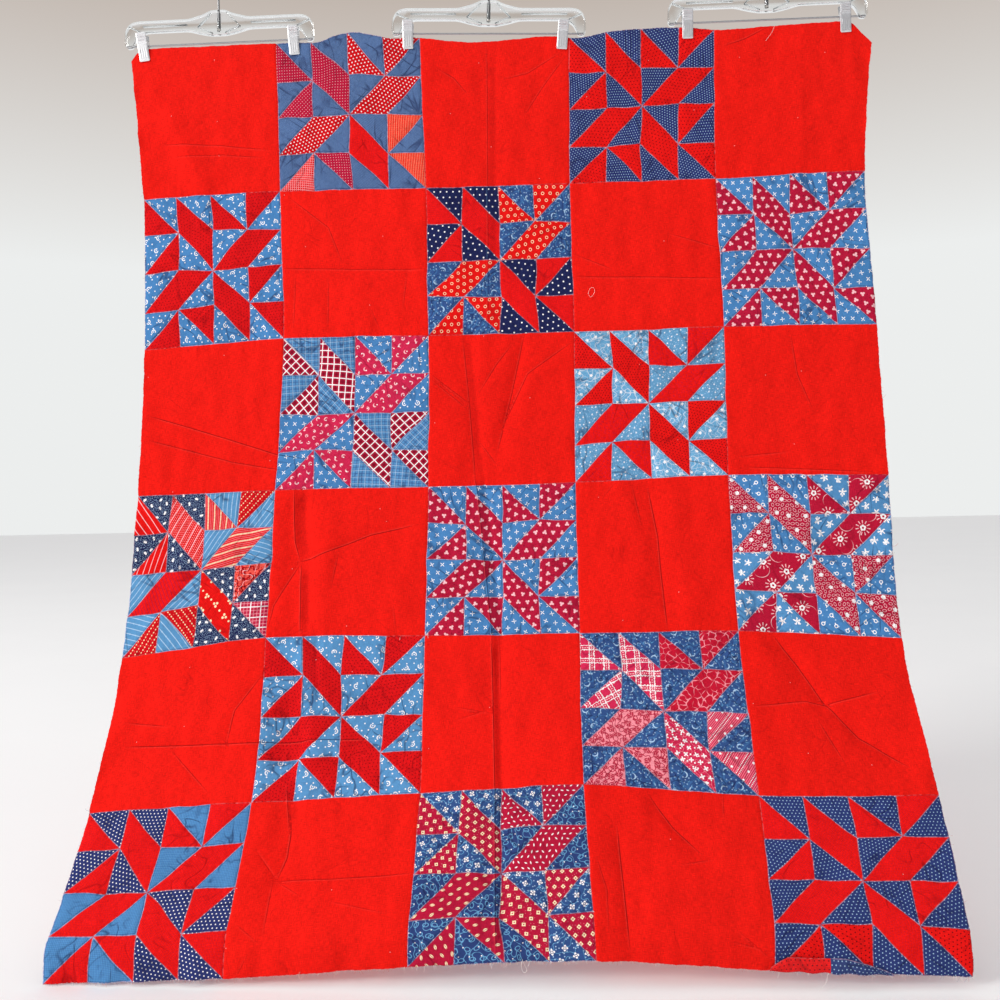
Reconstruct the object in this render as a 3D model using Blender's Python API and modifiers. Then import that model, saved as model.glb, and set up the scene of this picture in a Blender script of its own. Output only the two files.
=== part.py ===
"""Patchwork quilt top hung from three clip hangers.

Metres, +Z up, front towards -Y. The origin is the inside top of the centre hanger's hook.
"""
import math

import bmesh
import bpy
from mathutils import Matrix, Vector

MM = 0.001

# Cloth
COLUMNS = 5
ROWS = 6
BLOCK_HEIGHT = 272 * MM
CLOTH_THICKNESS = 1.2 * MM
PIECE_GAP = 0.4 * MM
GRID_STEPS = 10
NOMINAL_TOP = -163 * MM

# Hangers
FRAME_DEPTH = 9.0 * MM
FRAME_RIM = 2.4 * MM
FRAME_RECESS = 3.1 * MM
ROD_RADIUS = 1.8 * MM
ROD_CLEARANCE = 0.35 * MM
ROD_LENGTH = 350 * MM
HOOK_WIRE_RADIUS = 2.0 * MM
HOOK_SEAT_RADIUS = 17 * MM
HOOK_HOLE_RADIUS = 2.4 * MM
CLIP_WIDTH = 19 * MM

# How far the cloth leans forward from upright at each place down its length.
# name, rows down from the top edge, lean in degrees
LEAN = (
    ("clips", 0.0, 0.0),
    ("first seam", 1.0, 2.0),
    ("second seam", 2.0, 3.0),
    ("third seam", 3.0, 8.0),
    ("fourth seam", 4.0, 18.5),
    ("fifth seam", 5.0, 36.0),
    ("sweep", 5.72, 46.0),
    ("hem bend", 5.87, 14.0),
    ("hem", 6.0, 2.0),
)

# Where the upright seams cross each level line, from left to right, in millimetres.
# name, left edge, four seams, right edge
ACROSS = (
    ("top edge", -675, -401, -133, 141, 403, 682),
    ("first seam", -656, -398, -127, 136, 399, 664),
    ("second seam", -655, -394, -127, 138, 406, 675),
    ("third seam", -663, -409, -130, 134, 403, 681),
    ("fourth seam", -671, -414, -134, 134, 404, 677),
    ("fifth seam", -678, -407, -131, 132, 408, 687),
    ("hem", -680, -407, -134, 141, 395, 671),
)

# How far each of those crossings lies above the plain drape, in millimetres.
LEVEL = (
    ("top edge", 0, 0, 0, 0, 0, 0),
    ("first seam", 2, 7, 3, 1, 0, 4),
    ("second seam", -9, 5, 2, 1, 2, -2),
    ("third seam", -8, -3, -3, -1, 6, 0),
    ("fourth seam", -29, 3, 3, 3, 3, -13),
    ("fifth seam", -22, -6, 7, 19, 0, -1),
    ("hem", -12, -2, 15, 25, 12, 4),
)

# Height of the top edge, which dips between the clips.
# name, blocks from the left edge, height in millimetres
TOP_EDGE = (
    ("left corner", 0.00, -174),
    ("left of clip", 0.05, -158),
    ("first clip", 0.10, -152.5),
    ("left span", 0.50, -152),
    ("second clip", 1.12, -152.5),
    ("past the arm", 1.29, -153.5),
    ("bulge start", 1.41, -143),
    ("bulge", 1.54, -138),
    ("bulge end", 1.66, -143.5),
    ("before the arm", 1.79, -152.5),
    ("third clip", 1.96, -153),
    ("dip start", 2.18, -162),
    ("dip", 2.35, -167),
    ("middle", 2.60, -165.5),
    ("dip end", 2.85, -162.5),
    ("fourth clip", 3.00, -166.5),
    ("under the arm", 3.10, -167),
    ("rise", 3.24, -160),
    ("right bulge", 3.50, -156),
    ("fifth clip", 3.82, -158),
    ("small dip", 4.05, -165),
    ("right span", 4.40, -162),
    ("sixth clip", 4.80, -160),
    ("clip edge", 4.87, -162),
    ("droop", 4.94, -182),
    ("right corner", 5.00, -200),
)

# Main folds as soft ridges (plus) and troughs (minus).
# name, start across and down, end across and down in blocks, half width in blocks, height in millimetres
FOLDS = (
    ("middle crease, first row", 2.45, 0.15, 2.43, 1.00, 0.08, -3.0),
    ("middle crease, third row", 2.24, 2.04, 2.32, 3.00, 0.08, -3.5),
    ("middle crease, fourth row", 2.33, 3.00, 2.43, 4.00, 0.08, -4.5),
    ("middle crease, fifth row", 2.43, 4.00, 2.46, 5.00, 0.08, -4.5),
    ("middle crease, sixth row", 2.45, 5.00, 2.47, 6.00, 0.09, -6.0),
    ("left drape, trough", 1.15, 3.00, 1.22, 4.00, 0.10, -6.0),
    ("left drape, ridge", 1.30, 3.05, 1.36, 4.00, 0.10, 5.0),
    ("left drape, lower trough", 1.20, 4.00, 1.18, 4.90, 0.11, -8.0),
    ("left drape, lower ridge", 1.34, 4.00, 1.33, 4.90, 0.11, 6.0),
    ("left drape, sixth row", 1.22, 4.95, 1.22, 5.60, 0.10, -6.0),
    ("right drape, trough", 3.47, 3.02, 3.56, 4.00, 0.09, -4.5),
    ("right drape, ridge", 3.62, 3.10, 3.70, 4.00, 0.10, 3.5),
    ("slanting crease, upper", 0.10, 2.47, 1.20, 2.80, 0.08, -3.5),
    ("slanting crease, lower", 0.12, 2.64, 1.06, 2.88, 0.08, -3.0),
    ("third row fan", 2.66, 2.02, 2.47, 2.80, 0.07, -3.0),
    ("right diagonal, upper", 4.22, 4.03, 4.50, 4.48, 0.08, -5.0),
    ("right diagonal, lower", 4.50, 4.48, 4.90, 4.85, 0.09, -5.0),
    ("fifth row level crease", 4.04, 4.46, 4.80, 4.36, 0.07, -3.0),
    ("left level crease", 0.14, 4.60, 1.65, 4.65, 0.08, -3.5),
    ("sixth row level crease", 1.22, 5.46, 1.98, 5.47, 0.07, -3.0),
    ("sixth row diagonal", 3.38, 5.05, 3.66, 5.40, 0.08, -4.0),
    ("sixth row upright", 3.18, 5.25, 3.20, 5.95, 0.10, -5.0),
    ("second row level crease", 1.02, 1.54, 1.96, 1.55, 0.07, -2.5),
    ("second row right crease", 3.04, 1.64, 3.96, 1.67, 0.07, -2.5),
    ("left block ridge", 0.22, 0.40, 0.48, 1.00, 0.12, 4.0),
)

# name, hook seat across, seat to rod, tilt in degrees, two clip places across in millimetres
HANGERS = (
    ("left", -507.0, 147.0, 0.0, (-651.0, -367.0), (5.5, 2.0)),
    ("centre", 0.0, 153.0, -2.6, (-147.5, 136.5), (2.0, -3.0)),
    ("right", 498.0, 151.0, -0.3, (356.0, 637.0), (0.0, 2.0)),
)

# Right half of the hanger frame seen from the front, from the top middle round to the bottom middle.
# across, height above the rod, in millimetres
FRAME_HALF = (
    (0, 60), (13, 60), (28, 53), (56, 45.5), (152, 45.5), (164, 43), (172, 36.5), (177, 27), (178, 15),
    (178, 3), (174, -4.0), (164, -3.4), (160, 6), (154, 16), (146, 21.5), (134, 24.5), (58, 24.5), (30, 17),
    (13, 14), (0, 14),
)

# Front jaw of a clip seen from the side, outside then inside, from the thumb end to the tip.
# distance from the middle, height above the rod, in millimetres
JAW_OUTSIDE = ((9.6, 23.0), (6.4, 5.0), (5.2, -4.0), (2.4, -24.0), (3.2, -29.0))
JAW_INSIDE = ((2.2, -29.0), (1.2, -24.0), (4.2, -4.0))
JAW_INSIDE_TOP = ((5.4, 5.0), (8.6, 23.0))


def hermite(points, place):
    """Smooth curve through (place, value) points."""
    last = len(points) - 1
    if place <= points[0][0]:
        return points[0][1]
    if place >= points[last][0]:
        return points[last][1]
    index = 0
    while points[index + 1][0] < place:
        index += 1

    def slope(at):
        if at == 0:
            return (points[1][1] - points[0][1]) / (points[1][0] - points[0][0])
        if at == last:
            return (points[last][1] - points[last - 1][1]) / (points[last][0] - points[last - 1][0])
        return (points[at + 1][1] - points[at - 1][1]) / (points[at + 1][0] - points[at - 1][0])

    left, right = points[index], points[index + 1]
    span = right[0] - left[0]
    t = (place - left[0]) / span
    rise = (2 * t ** 3 - 3 * t ** 2 + 1) * left[1] + (3 * t ** 2 - 2 * t ** 3) * right[1]
    lean = (t ** 3 - 2 * t ** 2 + t) * slope(index) + (t ** 3 - t ** 2) * slope(index + 1)
    return rise + lean * span


def table(rows, across, down):
    """Smooth value of a table with one line per level seam and one number per upright seam."""
    column = [(float(line), hermite([(float(i), row[i + 1]) for i in range(COLUMNS + 1)], across))
              for line, row in enumerate(rows)]
    return hermite(column, down)


def lean_at(down):
    for (_, start, first), (_, end, second) in zip(LEAN, LEAN[1:]):
        if down <= end:
            return math.radians(first + (second - first) * (down - start) / (end - start))
    return math.radians(LEAN[-1][2])


def drape(down):
    """Forward and downward travel of the plain drape, following the lean."""
    steps = 60
    forward = 0.0
    drop = 0.0
    for step in range(steps):
        angle = lean_at(down * (step + 0.5) / steps)
        forward += math.sin(angle) * BLOCK_HEIGHT * down / steps
        drop += math.cos(angle) * BLOCK_HEIGHT * down / steps
    return forward, drop


def fold_height(across, down):
    total = 0.0
    for _, u0, v0, u1, v1, width, height in FOLDS:
        along = Vector((u1 - u0, v1 - v0))
        offset = Vector((across - u0, down - v0))
        t = max(0.0, min(1.0, offset.dot(along) / along.length_squared))
        away = (offset - along * t).length / width
        ends = min(1.0, 4 * min(t, 1 - t) + 0.35)
        total += height * MM * ends * math.exp(-away * away)
    return total


def cloth_point(across, down):
    """Place of a point of the cloth, in blocks from its upper left corner."""
    forward, drop = drape(down)
    near_top = max(0.0, 1.0 - down) ** 2
    edge = hermite([(place, height * MM) for _, place, height in TOP_EDGE], across) - NOMINAL_TOP
    x = table(ACROSS, across, down) * MM
    z = NOMINAL_TOP - drop + table(LEVEL, across, down) * MM + edge * near_top
    lift = fold_height(across, down)
    angle = lean_at(down)
    return Vector((x, -forward - lift * math.cos(angle), z + lift * math.sin(angle)))


def collection(name):
    made = bpy.data.collections.new(name)
    bpy.context.scene.collection.children.link(made)
    return made


def material(name, colour, roughness, metallic, alpha):
    made = bpy.data.materials.new(name)
    made.use_nodes = True
    shader = made.node_tree.nodes["Principled BSDF"]
    shader.inputs["Base Color"].default_value = (*colour, 1.0)
    shader.inputs["Roughness"].default_value = roughness
    shader.inputs["Metallic"].default_value = metallic
    shader.inputs["Alpha"].default_value = alpha
    made.diffuse_color = (*colour, alpha)
    return made


def add_object(name, mesh, group, finish=None):
    made = bpy.data.objects.new(name, mesh)
    group.objects.link(made)
    if finish is not None:
        mesh.materials.append(finish)
    return made


def mesh_from(bm, name):
    bmesh.ops.recalc_face_normals(bm, faces=bm.faces)
    mesh = bpy.data.meshes.new(name)
    bm.to_mesh(mesh)
    bm.free()
    return mesh


def block(row, column, group):
    """One square of the quilt, laid on the draped surface and thickened."""
    plain = (row + column) % 2 == 0
    name = "{}_r{}_c{}".format("plain" if plain else "pieced", row + 1, column + 1)
    bm = bmesh.new()
    bmesh.ops.create_grid(bm, x_segments=GRID_STEPS, y_segments=GRID_STEPS, size=0.5)
    shrink = 1.0 - PIECE_GAP / BLOCK_HEIGHT
    for vertex in bm.verts:
        across = column + 0.5 + vertex.co.x * shrink
        down = row + 0.5 - vertex.co.y * shrink
        vertex.co = cloth_point(across, down)
    mesh = mesh_from(bm, name)
    colour = (0.72, 0.03, 0.02) if plain else (0.14, 0.16, 0.36)
    made = add_object(name, mesh, group, material(name, colour, 0.9, 0.0, 1.0))
    thicken = made.modifiers.new("thickness", "SOLIDIFY")
    thicken.thickness = CLOTH_THICKNESS
    thicken.offset = 0.0
    thicken.use_even_offset = True
    return made


def slab(name, outline, depth):
    """A flat outline in the XZ plane, extruded evenly about Y = 0."""
    bm = bmesh.new()
    face = bm.faces.new([bm.verts.new((x * MM, -depth / 2, z * MM)) for x, z in outline])
    made = bmesh.ops.extrude_face_region(bm, geom=[face])
    moved = [item for item in made["geom"] if isinstance(item, bmesh.types.BMVert)]
    bmesh.ops.translate(bm, vec=(0, depth, 0), verts=moved)
    return bm


def cylinder_cutter(name, radius, length, centre, turn, group):
    bm = bmesh.new()
    bmesh.ops.create_cone(bm, cap_ends=True, segments=12, radius1=radius, radius2=radius, depth=length,
                          matrix=Matrix.Translation(centre) @ turn)
    made = add_object(name, mesh_from(bm, name), group)
    made.hide_render = True
    made.display_type = "WIRE"
    return made


def cut(target, cutter):
    change = target.modifiers.new(cutter.name, "BOOLEAN")
    change.operation = "DIFFERENCE"
    change.solver = "EXACT"
    change.object = cutter


def hanger_frame(name, group, cutters, place, drop):
    """Clear plastic frame: recessed bar, raised hub, rounded arms."""
    right = [(x, z - drop) for x, z in FRAME_HALF]
    left = [(-x, z) for x, z in reversed(right) if x > 0]
    bm = slab(name, right + left, FRAME_DEPTH)
    bmesh.ops.recalc_face_normals(bm, faces=bm.faces)
    broad = [face for face in bm.faces if abs(face.normal.y) > 0.9]
    bmesh.ops.inset_region(bm, faces=broad, thickness=FRAME_RIM, depth=-FRAME_RECESS, use_even_offset=True)
    made = add_object(name, mesh_from(bm, name), group, material(name, (0.86, 0.88, 0.88), 0.08, 0.0, 0.3))
    made.matrix_world = place
    along = Matrix.Rotation(math.radians(90), 4, "Y")
    rod_hole = cylinder_cutter(name + "_rod_hole", ROD_RADIUS + ROD_CLEARANCE, ROD_LENGTH + 1.2 * MM,
                               Vector((0, 0, -drop * MM)), along, cutters)
    stem_hole = cylinder_cutter(name + "_stem_hole", HOOK_HOLE_RADIUS, 40 * MM,
                                Vector((0, 0, (66 - drop) * MM)), Matrix.Identity(4), cutters)
    for cutter in (rod_hole, stem_hole):
        cutter.matrix_world = place
        cut(made, cutter)


def hanger_hook(name, group, place, drop):
    """Wire hook: a straight stem from the hub, then a loop whose inside top is the seat."""
    reach = HOOK_SEAT_RADIUS + HOOK_WIRE_RADIUS
    path = [(0, (47.0 - drop) * MM), (0, -0.062), (0, -0.052), (-0.0012, -0.0455), (-0.0045, -0.0395)]
    for step in range(14):
        angle = math.radians(-112 - 19.0 * step)
        path.append((reach * math.cos(angle), reach * math.sin(angle) - HOOK_SEAT_RADIUS))
    curve = bpy.data.curves.new(name, "CURVE")
    curve.dimensions = "3D"
    curve.bevel_depth = HOOK_WIRE_RADIUS
    curve.bevel_resolution = 1
    curve.use_fill_caps = True
    spline = curve.splines.new("POLY")
    spline.points.add(len(path) - 1)
    for point, (y, z) in zip(spline.points, path):
        point.co = (0, y, z, 1)
    source = bpy.data.objects.new(name + "_path", curve)
    group.objects.link(source)
    bpy.context.view_layer.update()
    mesh = bpy.data.meshes.new_from_object(source.evaluated_get(bpy.context.evaluated_depsgraph_get()))
    bpy.data.objects.remove(source)
    bm = bmesh.new()
    bm.from_mesh(mesh)
    bmesh.ops.remove_doubles(bm, verts=bm.verts, dist=0.00001)
    made = add_object(name, mesh_from(bm, name), group, material(name, (0.62, 0.62, 0.64), 0.25, 1.0, 1.0))
    made.matrix_world = place


def hanger_rod(name, group, place, drop):
    bm = bmesh.new()
    turn = Matrix.Rotation(math.radians(90), 4, "Y")
    bmesh.ops.create_cone(bm, cap_ends=True, segments=10, radius1=ROD_RADIUS, radius2=ROD_RADIUS,
                          depth=ROD_LENGTH, matrix=Matrix.Translation((0, 0, -drop * MM)) @ turn)
    made = add_object(name, mesh_from(bm, name), group, material(name, (0.62, 0.62, 0.64), 0.22, 1.0, 1.0))
    made.matrix_world = place


def clip(name, group, cutters, on_rod, tilt):
    """Sprung clip: two jaws joined by the bridge that turns on the rod. It hangs a little askew."""
    place = on_rod @ Matrix.Rotation(math.radians(-tilt), 4, "Y")
    front = [(-y, z) for y, z in JAW_OUTSIDE]
    tip = [(-y, z) for y, z in JAW_INSIDE]
    top = [(-y, z) for y, z in JAW_INSIDE_TOP]
    half = front + tip
    back = [(-y, z) for y, z in reversed(half)]
    outline = half + back + [(-y, z) for y, z in reversed(top)] + top
    bm = bmesh.new()
    across = CLIP_WIDTH / 2
    face = bm.faces.new([bm.verts.new((-across, y * MM, z * MM)) for y, z in outline])
    made = bmesh.ops.extrude_face_region(bm, geom=[face])
    moved = [item for item in made["geom"] if isinstance(item, bmesh.types.BMVert)]
    bmesh.ops.translate(bm, vec=(CLIP_WIDTH, 0, 0), verts=moved)
    body = add_object(name, mesh_from(bm, name), group, material(name, (0.72, 0.72, 0.74), 0.28, 1.0, 1.0))
    body.matrix_world = place
    turn = Matrix.Rotation(math.radians(90), 4, "Y")
    hole = cylinder_cutter(name + "_hole", ROD_RADIUS + ROD_CLEARANCE, CLIP_WIDTH + 4 * MM, Vector(), turn, cutters)
    hole.matrix_world = on_rod
    cut(body, hole)


def build():
    for item in list(bpy.data.objects):
        bpy.data.objects.remove(item)
    parts = collection("patchwork_quilt_top")
    cutters = collection("cutters")
    for row in range(ROWS):
        for column in range(COLUMNS):
            block(row, column, parts)
    for side, seat, drop, tilt, clip_places, clip_tilts in HANGERS:
        swing = Matrix.Rotation(math.radians(-tilt), 4, "Y")
        place = Matrix.Translation((seat * MM, 0, 0)) @ swing
        hanger_frame("hanger_frame_" + side, parts, cutters, place, drop)
        hanger_hook("hanger_hook_" + side, parts, place, drop)
        hanger_rod("hanger_rod_" + side, parts, place, drop)
        for number, (across, clip_tilt) in enumerate(zip(clip_places, clip_tilts), 1):
            along = (across - seat) * MM / math.cos(math.radians(tilt))
            on_rod = place @ Matrix.Translation((along, 0, -drop * MM))
            clip("clip_{}_{}".format(side, number), parts, cutters, on_rod, clip_tilt)


build()
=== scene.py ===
"""Looks of a patchwork quilt top that hangs from three clear clip hangers.

Metres, +Z up, front towards -Y. The origin is the inside top of the centre hanger's hook.
"""
import math
import random
from collections import namedtuple
from functools import reduce

import bmesh
import bpy
import numpy as np
from bpy.props import FloatProperty, FloatVectorProperty, IntProperty, PointerProperty
from mathutils import Matrix, Vector


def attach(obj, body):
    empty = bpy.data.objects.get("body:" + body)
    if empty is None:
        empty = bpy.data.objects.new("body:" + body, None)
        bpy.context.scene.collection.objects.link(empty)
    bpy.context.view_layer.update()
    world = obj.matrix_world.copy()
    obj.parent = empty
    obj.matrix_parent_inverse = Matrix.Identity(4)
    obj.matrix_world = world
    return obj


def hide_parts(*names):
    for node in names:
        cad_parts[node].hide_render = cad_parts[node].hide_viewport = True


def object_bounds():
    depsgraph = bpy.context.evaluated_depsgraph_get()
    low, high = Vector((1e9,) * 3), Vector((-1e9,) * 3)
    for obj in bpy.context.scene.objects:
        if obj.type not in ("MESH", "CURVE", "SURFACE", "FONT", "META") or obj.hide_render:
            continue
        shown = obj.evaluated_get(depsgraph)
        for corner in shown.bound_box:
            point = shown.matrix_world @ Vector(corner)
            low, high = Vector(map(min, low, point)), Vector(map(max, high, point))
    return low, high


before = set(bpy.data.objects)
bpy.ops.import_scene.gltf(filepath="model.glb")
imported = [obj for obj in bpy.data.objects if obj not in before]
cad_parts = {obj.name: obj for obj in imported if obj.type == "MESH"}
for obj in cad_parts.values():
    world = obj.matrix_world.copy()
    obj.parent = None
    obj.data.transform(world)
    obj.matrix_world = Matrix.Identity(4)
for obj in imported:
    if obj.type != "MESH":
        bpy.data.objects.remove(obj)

bl_info = {
    "name": "Patchwork quilt top on clip hangers",
    "version": (1, 0, 0),
    "blender": (4, 5, 0),
    "location": "View3D > Sidebar > Quilt",
    "description": "Builds the cloth, the printed patches, the hangers and the clips around the packed model",
    "category": "Object",
}

CAD_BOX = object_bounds()
MM = 0.001
TURN = 2 * math.pi

# ---- The same surface as the solids -------------------------------------------------------------------

COLUMNS = 5
ROWS = 6
# A block's side, a small square's, the run of a slanting seam through a block, and a distance past every seam, all
# in millimetres.
BLOCK_MM = 270
SMALL_MM = BLOCK_MM / 4
SLANT_MM = 190
NO_SEAM = 90
BLOCK_HEIGHT = 272 * MM
FLAT_BLOCK = (0.270, 0.272)
NOMINAL_TOP = -163 * MM

# rows down from the top edge, lean in degrees
LEAN = ((0.0, 0.0), (1.0, 2.0), (2.0, 3.0), (3.0, 8.0), (4.0, 18.5), (5.0, 36.0), (5.72, 46.0), (5.87, 14.0),
        (6.0, 2.0))

# Where the upright seams cross each level line, one row per level line, in millimetres.
ACROSS = (
    (-675, -401, -133, 141, 403, 682),
    (-656, -398, -127, 136, 399, 664),
    (-655, -394, -127, 138, 406, 675),
    (-663, -409, -130, 134, 403, 681),
    (-671, -414, -134, 134, 404, 677),
    (-678, -407, -131, 132, 408, 687),
    (-680, -407, -134, 141, 395, 671),
)

# How far each of those crossings lies above the plain drape, in millimetres.
LEVEL = (
    (0, 0, 0, 0, 0, 0),
    (2, 7, 3, 1, 0, 4),
    (-9, 5, 2, 1, 2, -2),
    (-8, -3, -3, -1, 6, 0),
    (-29, 3, 3, 3, 3, -13),
    (-22, -6, 7, 19, 0, -1),
    (-12, -2, 15, 25, 12, 4),
)

# blocks from the left edge, height of the top edge in millimetres
TOP_EDGE = (
    (0.00, -174), (0.05, -158), (0.10, -152.5), (0.50, -152), (1.12, -152.5), (1.29, -153.5), (1.41, -143),
    (1.54, -138), (1.66, -143.5), (1.79, -152.5), (1.96, -153), (2.18, -162), (2.35, -167), (2.60, -165.5),
    (2.85, -162.5), (3.00, -166.5), (3.10, -167), (3.24, -160), (3.50, -156), (3.82, -158), (4.05, -165),
    (4.40, -162), (4.80, -160), (4.87, -162), (4.94, -182), (5.00, -200),
)

# start across and down, end across and down in blocks, half width in blocks, height in millimetres
FOLDS = (
    (2.45, 0.15, 2.43, 1.00, 0.08, -3.0),
    (2.24, 2.04, 2.32, 3.00, 0.08, -3.5),
    (2.33, 3.00, 2.43, 4.00, 0.08, -4.5),
    (2.43, 4.00, 2.46, 5.00, 0.08, -4.5),
    (2.45, 5.00, 2.47, 6.00, 0.09, -6.0),
    (1.15, 3.00, 1.22, 4.00, 0.10, -6.0),
    (1.30, 3.05, 1.36, 4.00, 0.10, 5.0),
    (1.20, 4.00, 1.18, 4.90, 0.11, -8.0),
    (1.34, 4.00, 1.33, 4.90, 0.11, 6.0),
    (1.22, 4.95, 1.22, 5.60, 0.10, -6.0),
    (3.47, 3.02, 3.56, 4.00, 0.09, -4.5),
    (3.62, 3.10, 3.70, 4.00, 0.10, 3.5),
    (0.10, 2.47, 1.20, 2.80, 0.08, -3.5),
    (0.12, 2.64, 1.06, 2.88, 0.08, -3.0),
    (2.66, 2.02, 2.47, 2.80, 0.07, -3.0),
    (4.22, 4.03, 4.50, 4.48, 0.08, -5.0),
    (4.50, 4.48, 4.90, 4.85, 0.09, -5.0),
    (4.04, 4.46, 4.80, 4.36, 0.07, -3.0),
    (0.14, 4.60, 1.65, 4.65, 0.08, -3.5),
    (1.22, 5.46, 1.98, 5.47, 0.07, -3.0),
    (3.38, 5.05, 3.66, 5.40, 0.08, -4.0),
    (3.18, 5.25, 3.20, 5.95, 0.10, -5.0),
    (1.02, 1.54, 1.96, 1.55, 0.07, -2.5),
    (3.04, 1.64, 3.96, 1.67, 0.07, -2.5),
    (0.22, 0.40, 0.48, 1.00, 0.12, 4.0),
)

# side, hook seat across, seat to rod, tilt in degrees, clip places across in millimetres, clip tilts
HANGERS = (
    ("left", -507.0, 147.0, 0.0, (-651.0, -367.0), (5.5, 2.0)),
    ("centre", 0.0, 153.0, -2.6, (-147.5, 136.5), (2.0, -3.0)),
    ("right", 498.0, 151.0, -0.3, (356.0, 637.0), (0.0, 2.0)),
)

# Right half of a hanger frame from the top middle to the bottom middle: across, height above the rod.
FRAME_HALF = (
    (0, 60), (13, 60), (28, 53), (56, 45.5), (152, 45.5), (164, 43), (172, 36.5), (177, 27), (178, 15),
    (178, 3), (174, -4.0), (164, -3.4), (160, 6), (154, 16), (146, 21.5), (134, 24.5), (58, 24.5), (30, 17),
    (13, 14), (0, 14),
)

# Ribs of the hub and of the arms on the right half: from across and height to across and height.
FRAME_RIBS = ((15.0, 55.5, 40.0, 30.0), (40.0, 30.0, 12.0, 18.5), (147.0, 26.0, 169.0, 36.0), (60.0, 36.0, 144.0, 36.0))

# The hook's wire: heights above the rod in the hub, then places across and up from the seat, in metres.
HOOK_FOOT = (26.0, 47.0, 64.0)
HOOK_STEM = ((0, -0.075), (0, -0.062), (0, -0.052), (-0.0012, -0.0455), (-0.0045, -0.0395))
ROD_CHAMFER = 0.5 * MM
SPRING_WIRE = 0.55 * MM

# Middle of a clip's plate seen from the side: distance from the middle of the clip, height above the rod.
JAW_LINE = ((9.1, 23.0), (8.0, 17.0), (6.9, 11.0), (6.0, 5.0), (5.3, 0.0), (4.8, -4.0), (3.4, -13.0), (2.2, -21.5),
            (1.75, -24.0), (1.95, -26.5), (2.75, -29.0))

# ---- Finer folds that only the cloth has --------------------------------------------------------------

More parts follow.
